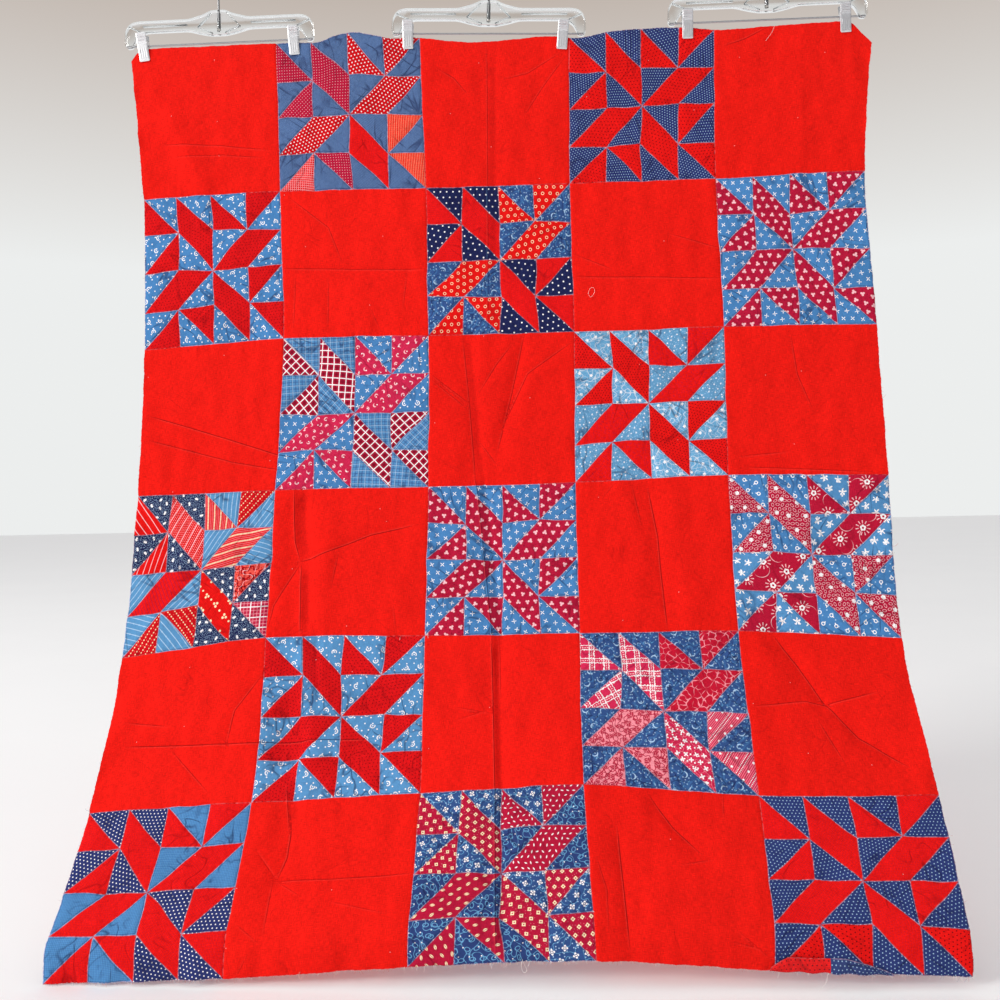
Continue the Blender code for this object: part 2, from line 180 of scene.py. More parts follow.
# half width in millimetres, height in millimetres, side (0 even, 1 steeper on the left), points in blocks
CREASES = (
    (5, -1.5, 0.0, (0.18, 0.64), (0.55, 0.66), (0.92, 0.71)),
    (5, -1.3, 0.0, (0.25, 0.73), (0.60, 0.73), (0.88, 0.76)),
    (22, 2.5, 0.0, (0.21, 0.38), (0.34, 0.70), (0.47, 1.00)),
    (3, -1.2, 0.0, (2.45, 0.02), (2.43, 1.00), (2.41, 1.99)),
    (5, -1.6, 0.0, (2.11, 0.19), (2.22, 0.25), (2.31, 0.36)),
    (4, -1.4, 0.0, (2.93, 0.12), (2.72, 0.24), (2.55, 0.27)),
    (4, -1.3, 0.0, (2.97, 0.14), (2.82, 0.34), (2.70, 0.52)),
    (3, -1.6, 0.0, (1.00, 1.53), (1.50, 1.545), (1.98, 1.55)),
    (4, -1.4, 0.0, (1.07, 1.05), (1.33, 1.26), (1.41, 1.48)),
    (4, -1.2, 0.0, (1.09, 1.59), (1.07, 1.94)),
    (4, -1.1, 0.0, (1.86, 1.57), (1.83, 1.82)),
    (4, -1.2, 0.0, (1.32, 1.61), (1.31, 1.95)),
    (4, -1.0, 0.0, (1.61, 1.82), (1.67, 1.96)),
    (5, -1.8, 0.0, (4.36, 0.00), (4.20, 0.07), (4.06, 0.11)),
    (14, 1.6, 0.0, (4.55, 0.03), (4.60, 0.98)),
    (3, -1.6, 0.0, (3.02, 1.63), (3.50, 1.645), (3.98, 1.67)),
    (4, -1.3, 0.0, (3.02, 1.48), (3.28, 1.59)),
    (4, -1.3, 0.0, (3.67, 1.36), (4.01, 1.47)),
    (4, -2.2, 0.0, (0.06, 2.46), (0.15, 2.49), (0.99, 2.76), (1.21, 2.80)),
    (4, -1.8, 0.0, (0.07, 2.63), (0.14, 2.65), (0.68, 2.80), (1.06, 2.87)),
    (4, -1.6, 0.3, (2.24, 2.04), (2.28, 2.46), (2.32, 2.97)),
    (3, -1.5, 0.0, (2.02, 2.26), (2.27, 2.45)),
    (3, -1.2, 0.0, (2.02, 2.29), (2.26, 2.49)),
    (4, -1.8, 0.0, (2.66, 2.01), (2.57, 2.40), (2.47, 2.78)),
    (4, -1.4, 0.0, (2.58, 2.07), (2.47, 2.20), (2.35, 2.38)),
    (4, -1.6, 0.0, (2.97, 2.08), (2.68, 2.27), (2.50, 2.63)),
    (4, -1.2, 0.0, (2.34, 2.70), (2.47, 2.87)),
    (3, -1.2, 0.0, (2.48, 4.02), (2.49, 4.43)),
    (3, -1.1, 0.0, (2.20, 4.47), (2.45, 4.52)),
    (3, -1.1, 0.0, (2.22, 4.55), (2.43, 4.49)),
    (3.5, -1.8, 0.0, (1.20, 3.50), (1.04, 3.79), (1.01, 3.95)),
    (4, -2.4, 0.0, (1.91, 3.26), (1.64, 3.32), (1.26, 3.48), (1.16, 3.50)),
    (3, -1.4, 0.0, (1.44, 3.45), (1.41, 3.66)),
    (3, -1.2, 0.0, (1.80, 3.81), (1.82, 3.97)),
    (3, -2.2, 0.0, (1.23, 5.03), (1.26, 5.19), (1.26, 5.34), (1.22, 5.47)),
    (2.6, -1.7, 0.0, (1.20, 5.47), (1.60, 5.485), (1.99, 5.48)),
    (2.6, 1.1, 0.0, (1.23, 5.44), (1.60, 5.455), (1.99, 5.45)),
    (3, -1.4, 0.0, (1.20, 5.47), (1.21, 5.78)),
    (3, -1.3, 0.0, (1.13, 5.89), (1.07, 6.00)),
    (3, -1.3, 0.0, (1.22, 5.47), (1.08, 5.30)),
    (3, -1.2, 0.0, (1.22, 5.47), (1.38, 5.58)),
    (3.5, -2.2, 0.0, (0.14, 4.59), (0.55, 4.62), (0.98, 4.64), (1.69, 4.65)),
    (3, -1.5, 0.0, (0.10, 4.43), (0.40, 4.49)),
    (3.5, -1.5, 0.0, (0.45, 4.65), (0.72, 4.92)),
    (7, -1.8, 0.0, (0.99, 4.24), (0.83, 4.44), (0.79, 4.65)),
    (3.5, -2.2, 0.2, (3.48, 3.06), (3.53, 3.38), (3.54, 3.63), (3.56, 3.98)),
    (4, -1.4, 0.0, (3.38, 3.05), (3.43, 3.31)),
    (3, -1.2, 0.0, (3.26, 3.02), (3.18, 3.11)),
    (4, -2.6, 0.0, (4.22, 4.03), (4.34, 4.20), (4.47, 4.43), (4.63, 4.64), (4.87, 4.82)),
    (3, -1.7, 0.0, (4.04, 4.46), (4.36, 4.42), (4.47, 4.44), (4.79, 4.35)),
    (3.5, -1.4, 0.0, (4.41, 4.54), (4.52, 4.81)),
    (4, -2.2, 0.0, (3.38, 5.05), (3.50, 5.23), (3.64, 5.37)),
    (4, -1.4, 0.0, (3.80, 5.00), (3.79, 5.16)),
    (3, -1.2, 0.0, (3.52, 5.45), (3.70, 5.40)),
    (5, -2.2, 0.0, (3.18, 5.25), (3.19, 5.93)),
    (3, -1.2, 0.0, (3.05, 5.44), (3.09, 5.62), (3.08, 5.83)),
    (3, -1.2, 0.0, (3.78, 5.86), (3.98, 5.90)),
    (3, -1.0, 0.0, (3.80, 5.80), (3.97, 5.93)),
    (4, -1.6, 0.0, (4.44, 2.08), (4.47, 2.33), (4.55, 2.55)),
    (3, -1.3, 0.0, (4.07, 2.88), (4.39, 2.85)),
    (3, -1.4, 0.0, (4.12, 2.95), (4.50, 2.965), (4.89, 2.98)),
    (3, -1.4, 0.0, (4.70, 1.43), (4.84, 1.44), (4.99, 1.47)),
    (3, -1.3, 0.0, (4.03, 1.52), (4.20, 1.57)),
    (3, -1.1, 0.0, (4.55, 1.55), (4.71, 1.66)),
    (3, -1.1, 0.0, (4.29, 1.70), (4.49, 1.71)),
    (3, -1.2, 0.0, (2.55, 3.16), (2.70, 3.09)),
    (3, -1.1, 0.0, (2.06, 3.62), (2.17, 3.59)),
    (3, -1.2, 0.0, (3.10, 4.60), (3.30, 4.52)),
    (3, -1.1, 0.0, (1.55, 5.62), (1.86, 5.70)),
    (3, -1.2, 0.0, (1.05, 5.72), (1.18, 5.82)),
)

# Pressed folds, which fall steeply on one side only.
# rise, drop, reach on the left, reach on the right in millimetres, points in blocks
PRESSED = (
    (1.6, 1.4, 12, 14, (2.45, 0.10), (2.43, 1.00), (2.41, 1.97)),
    (2.8, 3.2, 18, 16, (2.31, 2.92), (2.33, 3.03), (2.38, 3.50), (2.43, 3.98), (2.44, 4.08)),
    (2.4, 2.4, 14, 10, (2.43, 4.02), (2.46, 5.01), (2.46, 5.12), (2.47, 5.95)),
    (2.8, 3.0, 14, 18, (1.135, 3.00), (1.14, 3.20), (1.155, 3.36), (1.195, 3.49)),
    (2.4, 2.4, 12, 12, (1.205, 3.50), (1.21, 3.70), (1.225, 4.00)),
    (3.8, 4.0, 20, 23, (1.235, 3.96), (1.25, 4.20), (1.27, 4.49)),
    (-3.0, -2.8, 22, 16, (1.27, 4.49), (1.25, 4.71), (1.20, 4.90)),
    (1.8, 1.6, 16, 12, (2.24, 2.04), (2.28, 2.46), (2.32, 2.95)),
    (1.6, 1.4, 12, 12, (1.20, 4.90), (1.22, 5.03), (1.25, 5.19)),
)

# across and down in blocks, thread, then steps to the right, forward and up in millimetres
LOOSE_THREADS = (
    (3.10, 1.75, "pale", ((3, 1, 9), (6, 1, 3), (3, 0, -8), (-7, 1, -9), (-4, 0, 4))),
    (4.33, 0.10, "pale", ((5, 1, 6), (6, 1, 8), (4, 2, 10))),
    (2.02, 3.98, "pale", ((0, 2, -8), (3, 1, -9), (-1, 0, -6))),
    (1.84, 4.01, "pale", ((-1, 1, -6), (0, 0, -7))),
    (2.60, 5.985, "pale", ((-2, 1, -9), (3, 1, -9), (5, 0, 3), (-3, 1, 8), (-3, 0, 6))),
    (4.27, 5.985, "pale", ((-3, 2, -7), (-2, 1, -8), (-5, 2, -6), (-7, 4, -4))),
    (4.02, 5.985, "pale", ((-1, 1, -8), (-2, 1, -5))),
    (4.55, 5.985, "pale", ((6, 2, -3), (7, 2, -5))),
    (1.42, 5.985, "red", ((-2, 1, -6), (5, 1, -3), (2, 0, 6))),
    (4.995, 3.45, "red", ((6, 1, 2), (4, 0, 4))),
    (4.995, 2.50, "red", ((5, 1, 3), (2, 0, 3))),
    (0.005, 0.98, "blue", ((-4, 1, 1), (-2, 0, -3))),
    (0.005, 4.99, "blue", ((-5, 1, 2), (-2, 0, 3))),
)

# ---- Which cloth each patch is cut from ---------------------------------------------------------------

# Diagonal and place of the red half in each of the sixteen small squares:
# "\\" runs from the upper left and "/" from the upper right, L is the lower half and U the upper half.
STAR = (
    ("\\L", "\\L", "\\L", "/U"),
    ("/L", "\\U", "/L", "/U"),
    ("/L", "/U", "\\L", "/U"),
    ("/L", "\\U", "\\U", "\\U"),
)

FALLS = np.array([[cell[0] == "\\" for cell in line] for line in STAR])
RED_UPPER = np.array([[cell[1] == "U" for cell in line] for line in STAR])

# The red halves that are one long piece: small square, the next one, and the side they meet on.
LONG_PIECES = (
    ((0, 1), (1, 1), "below"),
    ((1, 2), (1, 3), "right"),
    ((2, 0), (2, 1), "right"),
    ((2, 2), (3, 2), "below"),
)

# For each pieced block: blue cloths then red cloths of the four quarters (upper left, upper right, lower left,
# lower right), then the patches that differ: (row, column, half, cloth).
BLOCKS = {
    (0, 1): (("chambray",) * 4, ("wine_pin", "red_polka", "red_polka", "red_fine"),
             ((3, 0, "red", "red_check"), (3, 1, "red", "wine_pin"), (2, 3, "red", "orange_check"),
              (3, 3, "red", "orange_check"))),
    (0, 3): (("navy_grid",) * 4, ("red_pepper",) * 4, ()),
    (1, 0): (("horseshoe_blue",) * 4, ("crimson_dash",) * 4, ()),
    (1, 2): (("navy_polka", "navy_moon", "navy_moon", "navy_polka"),
             ("red_fine", "red_ring", "red_ring", "red_fine"), ()),
    (1, 4): (("cross_blue",) * 4, ("wine_trefoil",) * 4, ()),
    (2, 1): (("blue_plaid", "cross_blue", "cross_blue", "blue_plaid"),
             ("wine_window", "wine_comma", "wine_comma", "wine_window"),
             ((0, 3, "blue", "horseshoe_blue"), (1, 3, "blue", "horseshoe_blue"))),
    (2, 3): (("sky_vine", "sky_dots", "sky_dots", "sky_vine"), ("red_seed", "red_faint", "red_faint", "red_seed"), ()),
    (3, 0): (("navy_sprig", "sky_stripe", "sky_stripe", "navy_sprig"),
             ("pale_stripe", "cream_stripe", "dark_stripe", "red_cluster"),
             ((0, 1, "red", "dotty_stripe"), (1, 1, "red", "dotty_stripe"), (0, 3, "red", "bead_stripe"),
              (3, 0, "red", "bead_stripe"), (3, 1, "red", "bead_stripe"), (2, 3, "red", "coral_leaf"),
              (3, 3, "red", "wine_plaid"))),
    (3, 2): (("cross_blue",) * 4, ("wine_trefoil",) * 4, ()),
    (3, 4): (("ring_blue", "bloom_blue", "bloom_blue", "ring_blue"),
             ("wine_oval", "wine_bloom", "wine_bloom", "wine_oval"), ()),
    (4, 1): (("horseshoe_sky",) * 4, ("crimson_dash",) * 4, ()),
    (4, 3): (("navy_moon",) * 4, ("pink_plaid", "wine_branch", "pink_leaf", "wine_diamond"),
             ((2, 3, "red", "pinstripe"), (3, 3, "red", "pinstripe"))),
    (5, 0): (("navy_pin", "chambray_pale", "chambray_pale", "navy_pin"), ("red_fine",) * 4, ()),
    (5, 2): (("navy_flower", "navy_oval", "navy_oval", "navy_flower"),
             ("wine_square", "wine_grain", "wine_pod", "wine_square"),
             ((0, 2, "blue", "navy_flower"), (3, 2, "blue", "navy_oval"))),
    (5, 4): (("navy_micro",) * 4, ("red_fine",) * 4,
             ((3, 0, "red", "red_pepper"), (3, 1, "red", "red_pepper"), (3, 3, "red", "red_pepper"))),
}

# Direction of the print in degrees from level, where it can be seen: block row, column, small row, column, half.
TURNS = {
    (3, 0, 0, 0, "red"): -50, (3, 0, 0, 1, "red"): 62, (3, 0, 1, 1, "red"): 62, (3, 0, 1, 0, "red"): 72,
    (3, 0, 0, 2, "red"): 90, (3, 0, 0, 3, "red"): 48, (3, 0, 1, 2, "red"): 9, (3, 0, 1, 3, "red"): 9,
    (3, 0, 2, 0, "red"): -62, (3, 0, 2, 1, "red"): -62, (3, 0, 3, 0, "red"): 55, (3, 0, 3, 1, "red"): -50,
    (3, 0, 0, 2, "blue"): 90, (3, 0, 0, 3, "blue"): 55, (3, 0, 1, 2, "blue"): 52, (3, 0, 1, 3, "blue"): -22,
    (3, 0, 2, 0, "blue"): 48, (3, 0, 3, 0, "blue"): -17, (3, 0, 2, 1, "blue"): 42, (3, 0, 3, 1, "blue"): -47,
    (3, 0, 3, 3, "red"): 0, (4, 3, 0, 0, "red"): 0, (4, 3, 0, 1, "red"): 0, (4, 3, 1, 1, "red"): 0,
    (4, 3, 1, 0, "red"): 33, (4, 3, 2, 3, "red"): 52, (4, 3, 3, 3, "red"): 55,
    (2, 1, 0, 0, "red"): 45, (2, 1, 1, 0, "red"): 45, (2, 1, 2, 2, "red"): 45, (2, 1, 3, 3, "red"): 45,
    (1, 2, 0, 0, "blue"): 0, (1, 2, 0, 1, "blue"): 0, (1, 2, 1, 0, "blue"): 45, (1, 2, 1, 1, "blue"): 45,
    (1, 2, 2, 2, "blue"): 52, (1, 2, 2, 3, "blue"): 35, (1, 2, 3, 2, "blue"): -38, (1, 2, 3, 3, "blue"): -38,
}


def srgb(red, green, blue):
    """Linear colour of a paint given as 0 to 255 screen values."""
    found = []
    for part in (red, green, blue):
        part /= 255
        found.append(part / 12.92 if part <= 0.04045 else ((part + 0.055) / 1.055) ** 2.4)
    return tuple(found)


def paint(name, red, green, blue):
    return FloatVectorProperty(name=name, description=name + " as a linear colour", subtype="COLOR", size=3,
                               min=0.0, max=1.0, default=srgb(red, green, blue))


def length(name, description, default):
    return FloatProperty(name=name, description=description, default=default, min=0.0, unit="LENGTH", precision=5)


class QuiltSizes(bpy.types.PropertyGroup):
    """Sizes of the cloth and of its seams."""

    thickness: length("Cloth thickness", "Thickness of one block of cloth", 0.8 * MM)
    seam_depth: length("Seam depth", "How far a seam sinks into the face", 0.9 * MM)
    allowance: length("Seam allowance", "Width of the pressed allowance on the back", 6.4 * MM)
    allowance_height: length("Allowance height", "How far an allowance stands off the back", 0.8 * MM)
    pucker: length("Pucker height", "Height of the small ripples beside a seam", 0.55 * MM)
    wave: length("Wave height", "Height of the broad unevenness of the cloth", 1.1 * MM)
    tuck: length("Tuck", "How far a block runs under its neighbour", 1.2 * MM)
    fray: length("Fray length", "Length of the threads on the raw edges", 6.0 * MM)
    steps: IntProperty(name="Face steps", description="Grid steps across one block", default=96, min=24, max=160)


class QuiltColours(bpy.types.PropertyGroup):
    """Colours of the cloths and inks."""

    red: paint("Turkey red", 236, 24, 18)
    bright: paint("Bright red", 230, 22, 20)
    crimson: paint("Crimson", 206, 16, 26)
    wine: paint("Wine", 184, 26, 60)
    pink_wine: paint("Pink wine", 214, 44, 86)
    pink: paint("Pink", 248, 150, 162)
    coral: paint("Coral", 244, 92, 80)
    orange: paint("Orange red", 238, 56, 26)
    navy: paint("Navy", 44, 54, 108)
    ink_navy: paint("Dark navy", 30, 34, 76)
    slate: paint("Slate blue", 52, 82, 136)
    denim: paint("Chambray blue", 58, 88, 140)
    blue: paint("Medium blue", 74, 130, 186)
    sky: paint("Sky blue", 108, 168, 208)
    pale_blue: paint("Pale blue", 170, 202, 230)
    white: paint("White", 252, 248, 248)
    cream: paint("Cream", 255, 234, 190)
    blush: paint("Blush", 255, 196, 202)
    black: paint("Black", 48, 4, 14)
    thread: paint("Thread", 232, 222, 208)


class HangerSizes(bpy.types.PropertyGroup):
    """Sizes and colours of the hangers and clips."""

    frame_depth: length("Frame depth", "Thickness of the clear frame", 9.0 * MM)
    frame_rim: length("Frame rim", "Width of the raised rim round the frame", 2.4 * MM)
    frame_recess: length("Frame recess", "How far the web lies behind the rim", 3.1 * MM)
    rod_radius: length("Rod radius", "Radius of the rod that carries the clips", 1.8 * MM)
    rod_length: length("Rod length", "Length of the rod", 350 * MM)
    wire_radius: length("Hook wire radius", "Radius of the hook's wire", 2.0 * MM)
    loop_radius: length("Hook loop radius", "Inside radius of the hook's loop", 17 * MM)
    clip_width: length("Clip width", "Width of a clip", 19 * MM)
    sheet: length("Clip sheet", "Thickness of the clip's plated sheet", 0.9 * MM)
    plastic: paint("Clear plastic", 246, 248, 248)
    chrome: paint("Chrome", 222, 222, 224)


# ---- Surface ------------------------------------------------------------------------------------------

def hermite(places, values, at):
    """Smooth curve through values at places, as the solids have it. values may hold one column per point."""
    values = np.asarray(values, float)
    places = np.asarray(places, float)
    slopes = np.empty_like(values)
    gaps = (places[2:] - places[:-2]).reshape((-1,) + (1,) * (values.ndim - 1))
    slopes[1:-1] = (values[2:] - values[:-2]) / gaps
    slopes[0] = (values[1] - values[0]) / (places[1] - places[0])
    slopes[-1] = (values[-1] - values[-2]) / (places[-1] - places[-2])
    index = np.clip(np.searchsorted(places, at, side="left") - 1, 0, len(places) - 2)
    span = places[index + 1] - places[index]
    t = np.clip((at - places[index]) / span, 0, 1)

    def pick(source, which):
        return source[which] if source.ndim == 1 else source[which, np.arange(len(at))]

    rise = (2 * t ** 3 - 3 * t ** 2 + 1) * pick(values, index) + (3 * t ** 2 - 2 * t ** 3) * pick(values, index + 1)
    lean = (t ** 3 - 2 * t ** 2 + t) * pick(slopes, index) + (t ** 3 - t ** 2) * pick(slopes, index + 1)
    return rise + lean * span


def table(rows, across, down):
    columns = np.stack([hermite(range(COLUMNS + 1), row, across) for row in rows])
    return hermite(range(len(rows)), columns, down)


def lean_at(down):
    return np.radians(np.interp(down, [at for at, _ in LEAN], [degrees for _, degrees in LEAN]))


DRAPE_STEPS = 6000
_middle = (np.arange(DRAPE_STEPS) + 0.5) * ROWS / DRAPE_STEPS
_forward = np.concatenate(([0.0], np.cumsum(np.sin(lean_at(_middle))))) * BLOCK_HEIGHT * ROWS / DRAPE_STEPS
_drop = np.concatenate(([0.0], np.cumsum(np.cos(lean_at(_middle))))) * BLOCK_HEIGHT * ROWS / DRAPE_STEPS
_places = np.linspace(0, ROWS, DRAPE_STEPS + 1)


def fold_height(across, down):
    total = np.zeros_like(across)
    for u0, v0, u1, v1, width, height in FOLDS:
        du, dv = u1 - u0, v1 - v0
        t = np.clip(((across - u0) * du + (down - v0) * dv) / (du * du + dv * dv), 0, 1)
        away = np.hypot(across - u0 - t * du, down - v0 - t * dv) / width
        total += height * MM * np.minimum(1.0, 4 * np.minimum(t, 1 - t) + 0.35) * np.exp(-away * away)
    return total


def base_point(across, down):
    """Places on the draped cloth, in blocks from its upper left corner, as the solids have them."""
    near_top = np.maximum(0.0, 1.0 - down) ** 2
    edge = hermite([at for at, _ in TOP_EDGE], [high * MM for _, high in TOP_EDGE], across) - NOMINAL_TOP
    x = table(ACROSS, across, down) * MM
    z = NOMINAL_TOP - np.interp(down, _places, _drop) + table(LEVEL, across, down) * MM + edge * near_top
    lift = fold_height(across, down)
    angle = lean_at(down)
    return np.stack((x, -np.interp(down, _places, _forward) - lift * np.cos(angle), z + lift * np.sin(angle)), -1)


def base_frame(across, down):
    """Places on the cloth and its outward directions."""
    step = 0.006
    place = base_point(across, down)
    right = base_point(np.minimum(across + step, COLUMNS), down) - base_point(np.maximum(across - step, 0), down)
    below = base_point(across, np.minimum(down + step, ROWS)) - base_point(across, np.maximum(down - step, 0))
    outward = np.cross(right, below)
    outward /= np.linalg.norm(outward, axis=1, keepdims=True)
    return place, np.where(outward[:, 1:2] > 0, -outward, outward)


def along_line(points, across, down):
    """Distance in millimetres from a bent line, with its side and the place along it."""
    best = np.full_like(across, 1e9)
    side = np.zeros_like(across)
    arc = np.zeros_like(across)
    start = 0.0
    for (u0, v0), (u1, v1) in zip(points, points[1:]):
        du, dv = u1 - u0, v1 - v0
        run = math.hypot(du, dv)
        t = np.clip(((across - u0) * du + (down - v0) * dv) / (run * run), 0, 1)
        off_u, off_v = across - u0 - t * du, down - v0 - t * dv
        away = np.hypot(off_u, off_v)
        closer = away < best
        best = np.where(closer, away, best)
        side = np.where(closer, np.sign(off_u * dv - off_v * du), side)
        arc = np.where(closer, start + t * run, arc)
        start += run
    return best * BLOCK_MM, side, np.clip(np.minimum(arc, start - arc) / 0.12 + 0.2, 0, 1)


def crease_height(across, down):
    """Height of the fine creases, the shade beside pressed folds, and the nearest crease.

    The last is its distance in millimetres, with its side, and how sharp it is, 0 to 1.
    """
    total, shade, sharp = np.zeros_like(across), np.zeros_like(across), np.zeros_like(across)
    nearest = np.full_like(across, 9.0)
    for width, height, bias, *points in CREASES:
        away, side, ends = along_line(points, across, down)
        reach = width * np.where(side > 0, 1 + bias, 1 - bias)
        shape = ends * np.exp(-(np.sqrt(away * away + 1.0) - 1.0) / reach)
        total += height * MM * shape
        if height < 0 and width < 8:
            closer = away < np.abs(nearest)
            nearest = np.where(closer, away * np.where(side == 0, 1, side), nearest)
            sharp = np.where(closer, -height / 2.2 * ends * np.clip((6.5 - away) / 2.5, 0, 1), sharp)
    for rise, drop, left, right, *points in PRESSED:
        away, side, ends = along_line(points, across, down)
        signed = away * np.where(side == 0, 1, side)
        falling = rise - (rise + drop) * np.clip(signed / right, 0, 1)
        after = -drop * np.exp(-np.maximum(signed - right, 0) / 26)
        before = rise * np.exp(np.minimum(signed, 0) / left)
        total += MM * ends * np.where(signed < 0, before, np.where(signed < right, falling, after))
        if rise > 0:
            closer = away < np.abs(nearest)
            nearest = np.where(closer, signed, nearest)
            sharp = np.where(closer, 1.15 * min(1.0, rise / 2.4) * ends * np.clip((6.5 - away) / 2.5, 0, 1), sharp)
            flank = np.clip(signed / 2, 0, 1) * np.clip((right + 3 - signed) / 5, 0, 1)
            shade = np.maximum(shade, 0.42 * min(1.0, rise / 2.4) * ends * flank)
    return total, np.stack((shade, nearest, np.clip(sharp, 0, 1)), -1)


def drawn_waves(draw, most, strength):
    """Sixteen waves in any direction: counts a block across and down, phase and share."""
    waves = []
    for _ in range(16):
        angle, count = draw.uniform(0, math.pi), draw.uniform(2.0, most)
        waves.append((count * math.cos(angle), count * math.sin(angle), draw.uniform(0, TURN), strength / count))
    return waves


_draw = random.Random(20)
WAVES = drawn_waves(_draw, 9.0, 2.2)
SHIFTS = drawn_waves(_draw, 6.0, 1.1 / BLOCK_MM)


def wave_height(across, down):
    """Broad unevenness, about -1 to 1."""
    total = np.zeros_like(across)
    for u_count, v_count, phase, share in WAVES:
        total += share * np.sin(TURN * (u_count * across + v_count * down) + phase)
    return total / 3.4


# How far each corner of the small squares lies from its ruled place, in blocks. Block corners stay in place.
_grit = np.random.default_rng(12)
CORNER_SHIFT = np.clip(_grit.normal(0, 1.7, (2, ROWS * 4 + 1, COLUMNS * 4 + 1)), -3.4, 3.4) / BLOCK_MM
CORNER_SHIFT[0, :, ::4] *= 0.30
CORNER_SHIFT[1, ::4, :] *= 0.30
CORNER_SHIFT[:, ::4, ::4] = 0


def shift_field(across, down):
    total = np.zeros((2,) + across.shape)
    for number, (u_count, v_count, phase, share) in enumerate(SHIFTS):
        total[number % 2] += share * np.sin(TURN * (u_count * across + v_count * down) + phase)
    return total


def hand_cut(across, down):
    """Moves places a little along the cloth, so that no seam is ruled. Block corners stay where they are."""
    x, y = np.clip(across * 4, 0, COLUMNS * 4), np.clip(down * 4, 0, ROWS * 4)
    column = np.minimum(np.floor(x), COLUMNS * 4 - 1).astype(int)
    row = np.minimum(np.floor(y), ROWS * 4 - 1).astype(int)
    s, t = x - column, y - row
    free = np.clip((1 - np.cos(TURN * across)) * 0.5 + (1 - np.cos(TURN * down)) * 0.5, 0, 1)
    moved = shift_field(across, down) * free
    for step_u, step_v, share in ((0, 0, (1 - s) * (1 - t)), (1, 0, s * (1 - t)), (0, 1, (1 - s) * t), (1, 1, s * t)):
        moved += CORNER_SHIFT[:, row + step_v, column + step_u] * share
    moved[0] *= np.clip(np.minimum(across, COLUMNS - across) / 0.12, 0, 1)
    moved[1] *= np.clip(np.minimum(down, ROWS - down) / 0.12, 0, 1)
    return across + moved[0], down + moved[1]


def ripple(line, along, away, reach):
    """Small ripples that cross a seam and die away beside it. line numbers the seam."""
    spread = np.sin(line * 12.9898) * 43758.5453
    phase = TURN * (spread - np.floor(spread))
    swell = 0.55 + 0.45 * np.sin(along * 0.061 + 2.1 * phase)
    wave = 0.6 * np.sin(along * TURN / 11.0 + phase) + 0.4 * np.sin(along * TURN / 17.3 + 3.7 * phase)
    return wave * swell * np.exp(-away / reach)


def seam_height(across, down, plain, sizes):
    """Height of seams, of the ripples beside them and of the soft swell between them, at face points."""
    block_u, block_v = np.round(across), np.round(down)
    side_away = np.abs(across - block_u) * BLOCK_MM
    level_away = np.abs(down - block_v) * BLOCK_MM
    inner_u = (block_u > 0.5) & (block_u < COLUMNS - 0.5)
    inner_v = (block_v > 0.5) & (block_v < ROWS - 0.5)
    away = np.minimum(np.where(inner_u, side_away, NO_SEAM), np.where(inner_v, level_away, NO_SEAM))
    total = sizes.pucker * 1.3 * np.where(inner_u, ripple(block_u * 7, down * BLOCK_MM, side_away, 13), 0)
    total += sizes.pucker * 1.3 * np.where(inner_v, ripple(block_v * 7 + 50, across * BLOCK_MM, level_away, 13), 0)
    if not plain:
        border = np.minimum(np.abs(across - block_u), np.abs(down - block_v)) * BLOCK_MM
        window = 1 - np.exp(-border / 5)
        x, y = across * 4, down * 4
        cell_x, cell_y = np.round(x), np.round(y)
        first_x, first_y = np.floor(across.mean()) * 4, np.floor(down.mean()) * 4
        upright = np.abs(x - cell_x) * SMALL_MM
        level = np.abs(y - cell_y) * SMALL_MM
        for (first_row, first_column), _, side in LONG_PIECES:
            in_column, in_row = np.floor(x) - first_x == first_column, np.floor(y) - first_y == first_row
            if side == "right":
                upright = np.where((cell_x - first_x == first_column + 1) & in_row, NO_SEAM, upright)
            else:
                level = np.where((cell_y - first_y == first_row + 1) & in_column, NO_SEAM, level)
        total += sizes.pucker * window * ripple(cell_x + np.floor(y) * 31, down * BLOCK_MM, upright, 8)
        total += sizes.pucker * window * ripple(cell_y * 3 + np.floor(x) * 17, across * BLOCK_MM, level, 8)
        column = np.clip(np.floor((across - np.floor(across.mean())) * 4), 0, 3).astype(int)
        row = np.clip(np.floor((down - np.floor(down.mean())) * 4), 0, 3).astype(int)
        falls = FALLS[row, column]
        local_x, local_y = x - np.floor(x), y - np.floor(y)
        slanting = np.where(falls, np.abs(local_x - local_y), np.abs(local_x + local_y - 1)) * SMALL_MM / math.sqrt(2)
        run = np.where(falls, across + down, across - down) * SLANT_MM
        total += sizes.pucker * window * ripple(np.floor(x) * 5 + np.floor(y) * 11, run, slanting, 8)
        away = np.minimum(away, np.minimum(np.minimum(upright, level), slanting))
    trough = -sizes.seam_depth * np.exp(-(away / 1.7) ** 2)
    return total + trough + 0.0005 * (1 - np.exp(-away / 9)) - 0.0003, away


def clip_hold(across, down):
    """1 away from the clips, 0 in their jaws, where the cloth is pressed flat."""
    place = base_point(across, down)
    hold = np.ones_like(across)
    for _, _, _, _, places, _ in HANGERS:
        for at in places:
            beside = np.exp(-(np.abs(place[:, 0] - at * MM) / (15 * MM)) ** 4)
            hold *= 1 - beside * np.exp(-(down * 272 / 34) ** 4)
    return hold


def cloth_face(across, down, plain, sizes):
    """Face points, outward directions, heights of the coarse folds and of the seams, and the creases."""
    seams, _ = seam_height(across, down, plain, sizes)
    across, down = hand_cut(across, down)
    place, outward = base_frame(across, down)
    creases, depth = crease_height(across, down)
    hold = clip_hold(across, down)
    edge = 1 + 1.6 * np.exp(-np.minimum(np.minimum(across, COLUMNS - across) * BLOCK_MM, (ROWS - down) * BLOCK_MM) / 14)
    coarse = (creases + sizes.wave * wave_height(across, down) * edge) * hold
    return place, outward, coarse, seams * (0.25 + 0.75 * hold), depth


# ---- Meshes -------------------------------------------------------------------------------------------

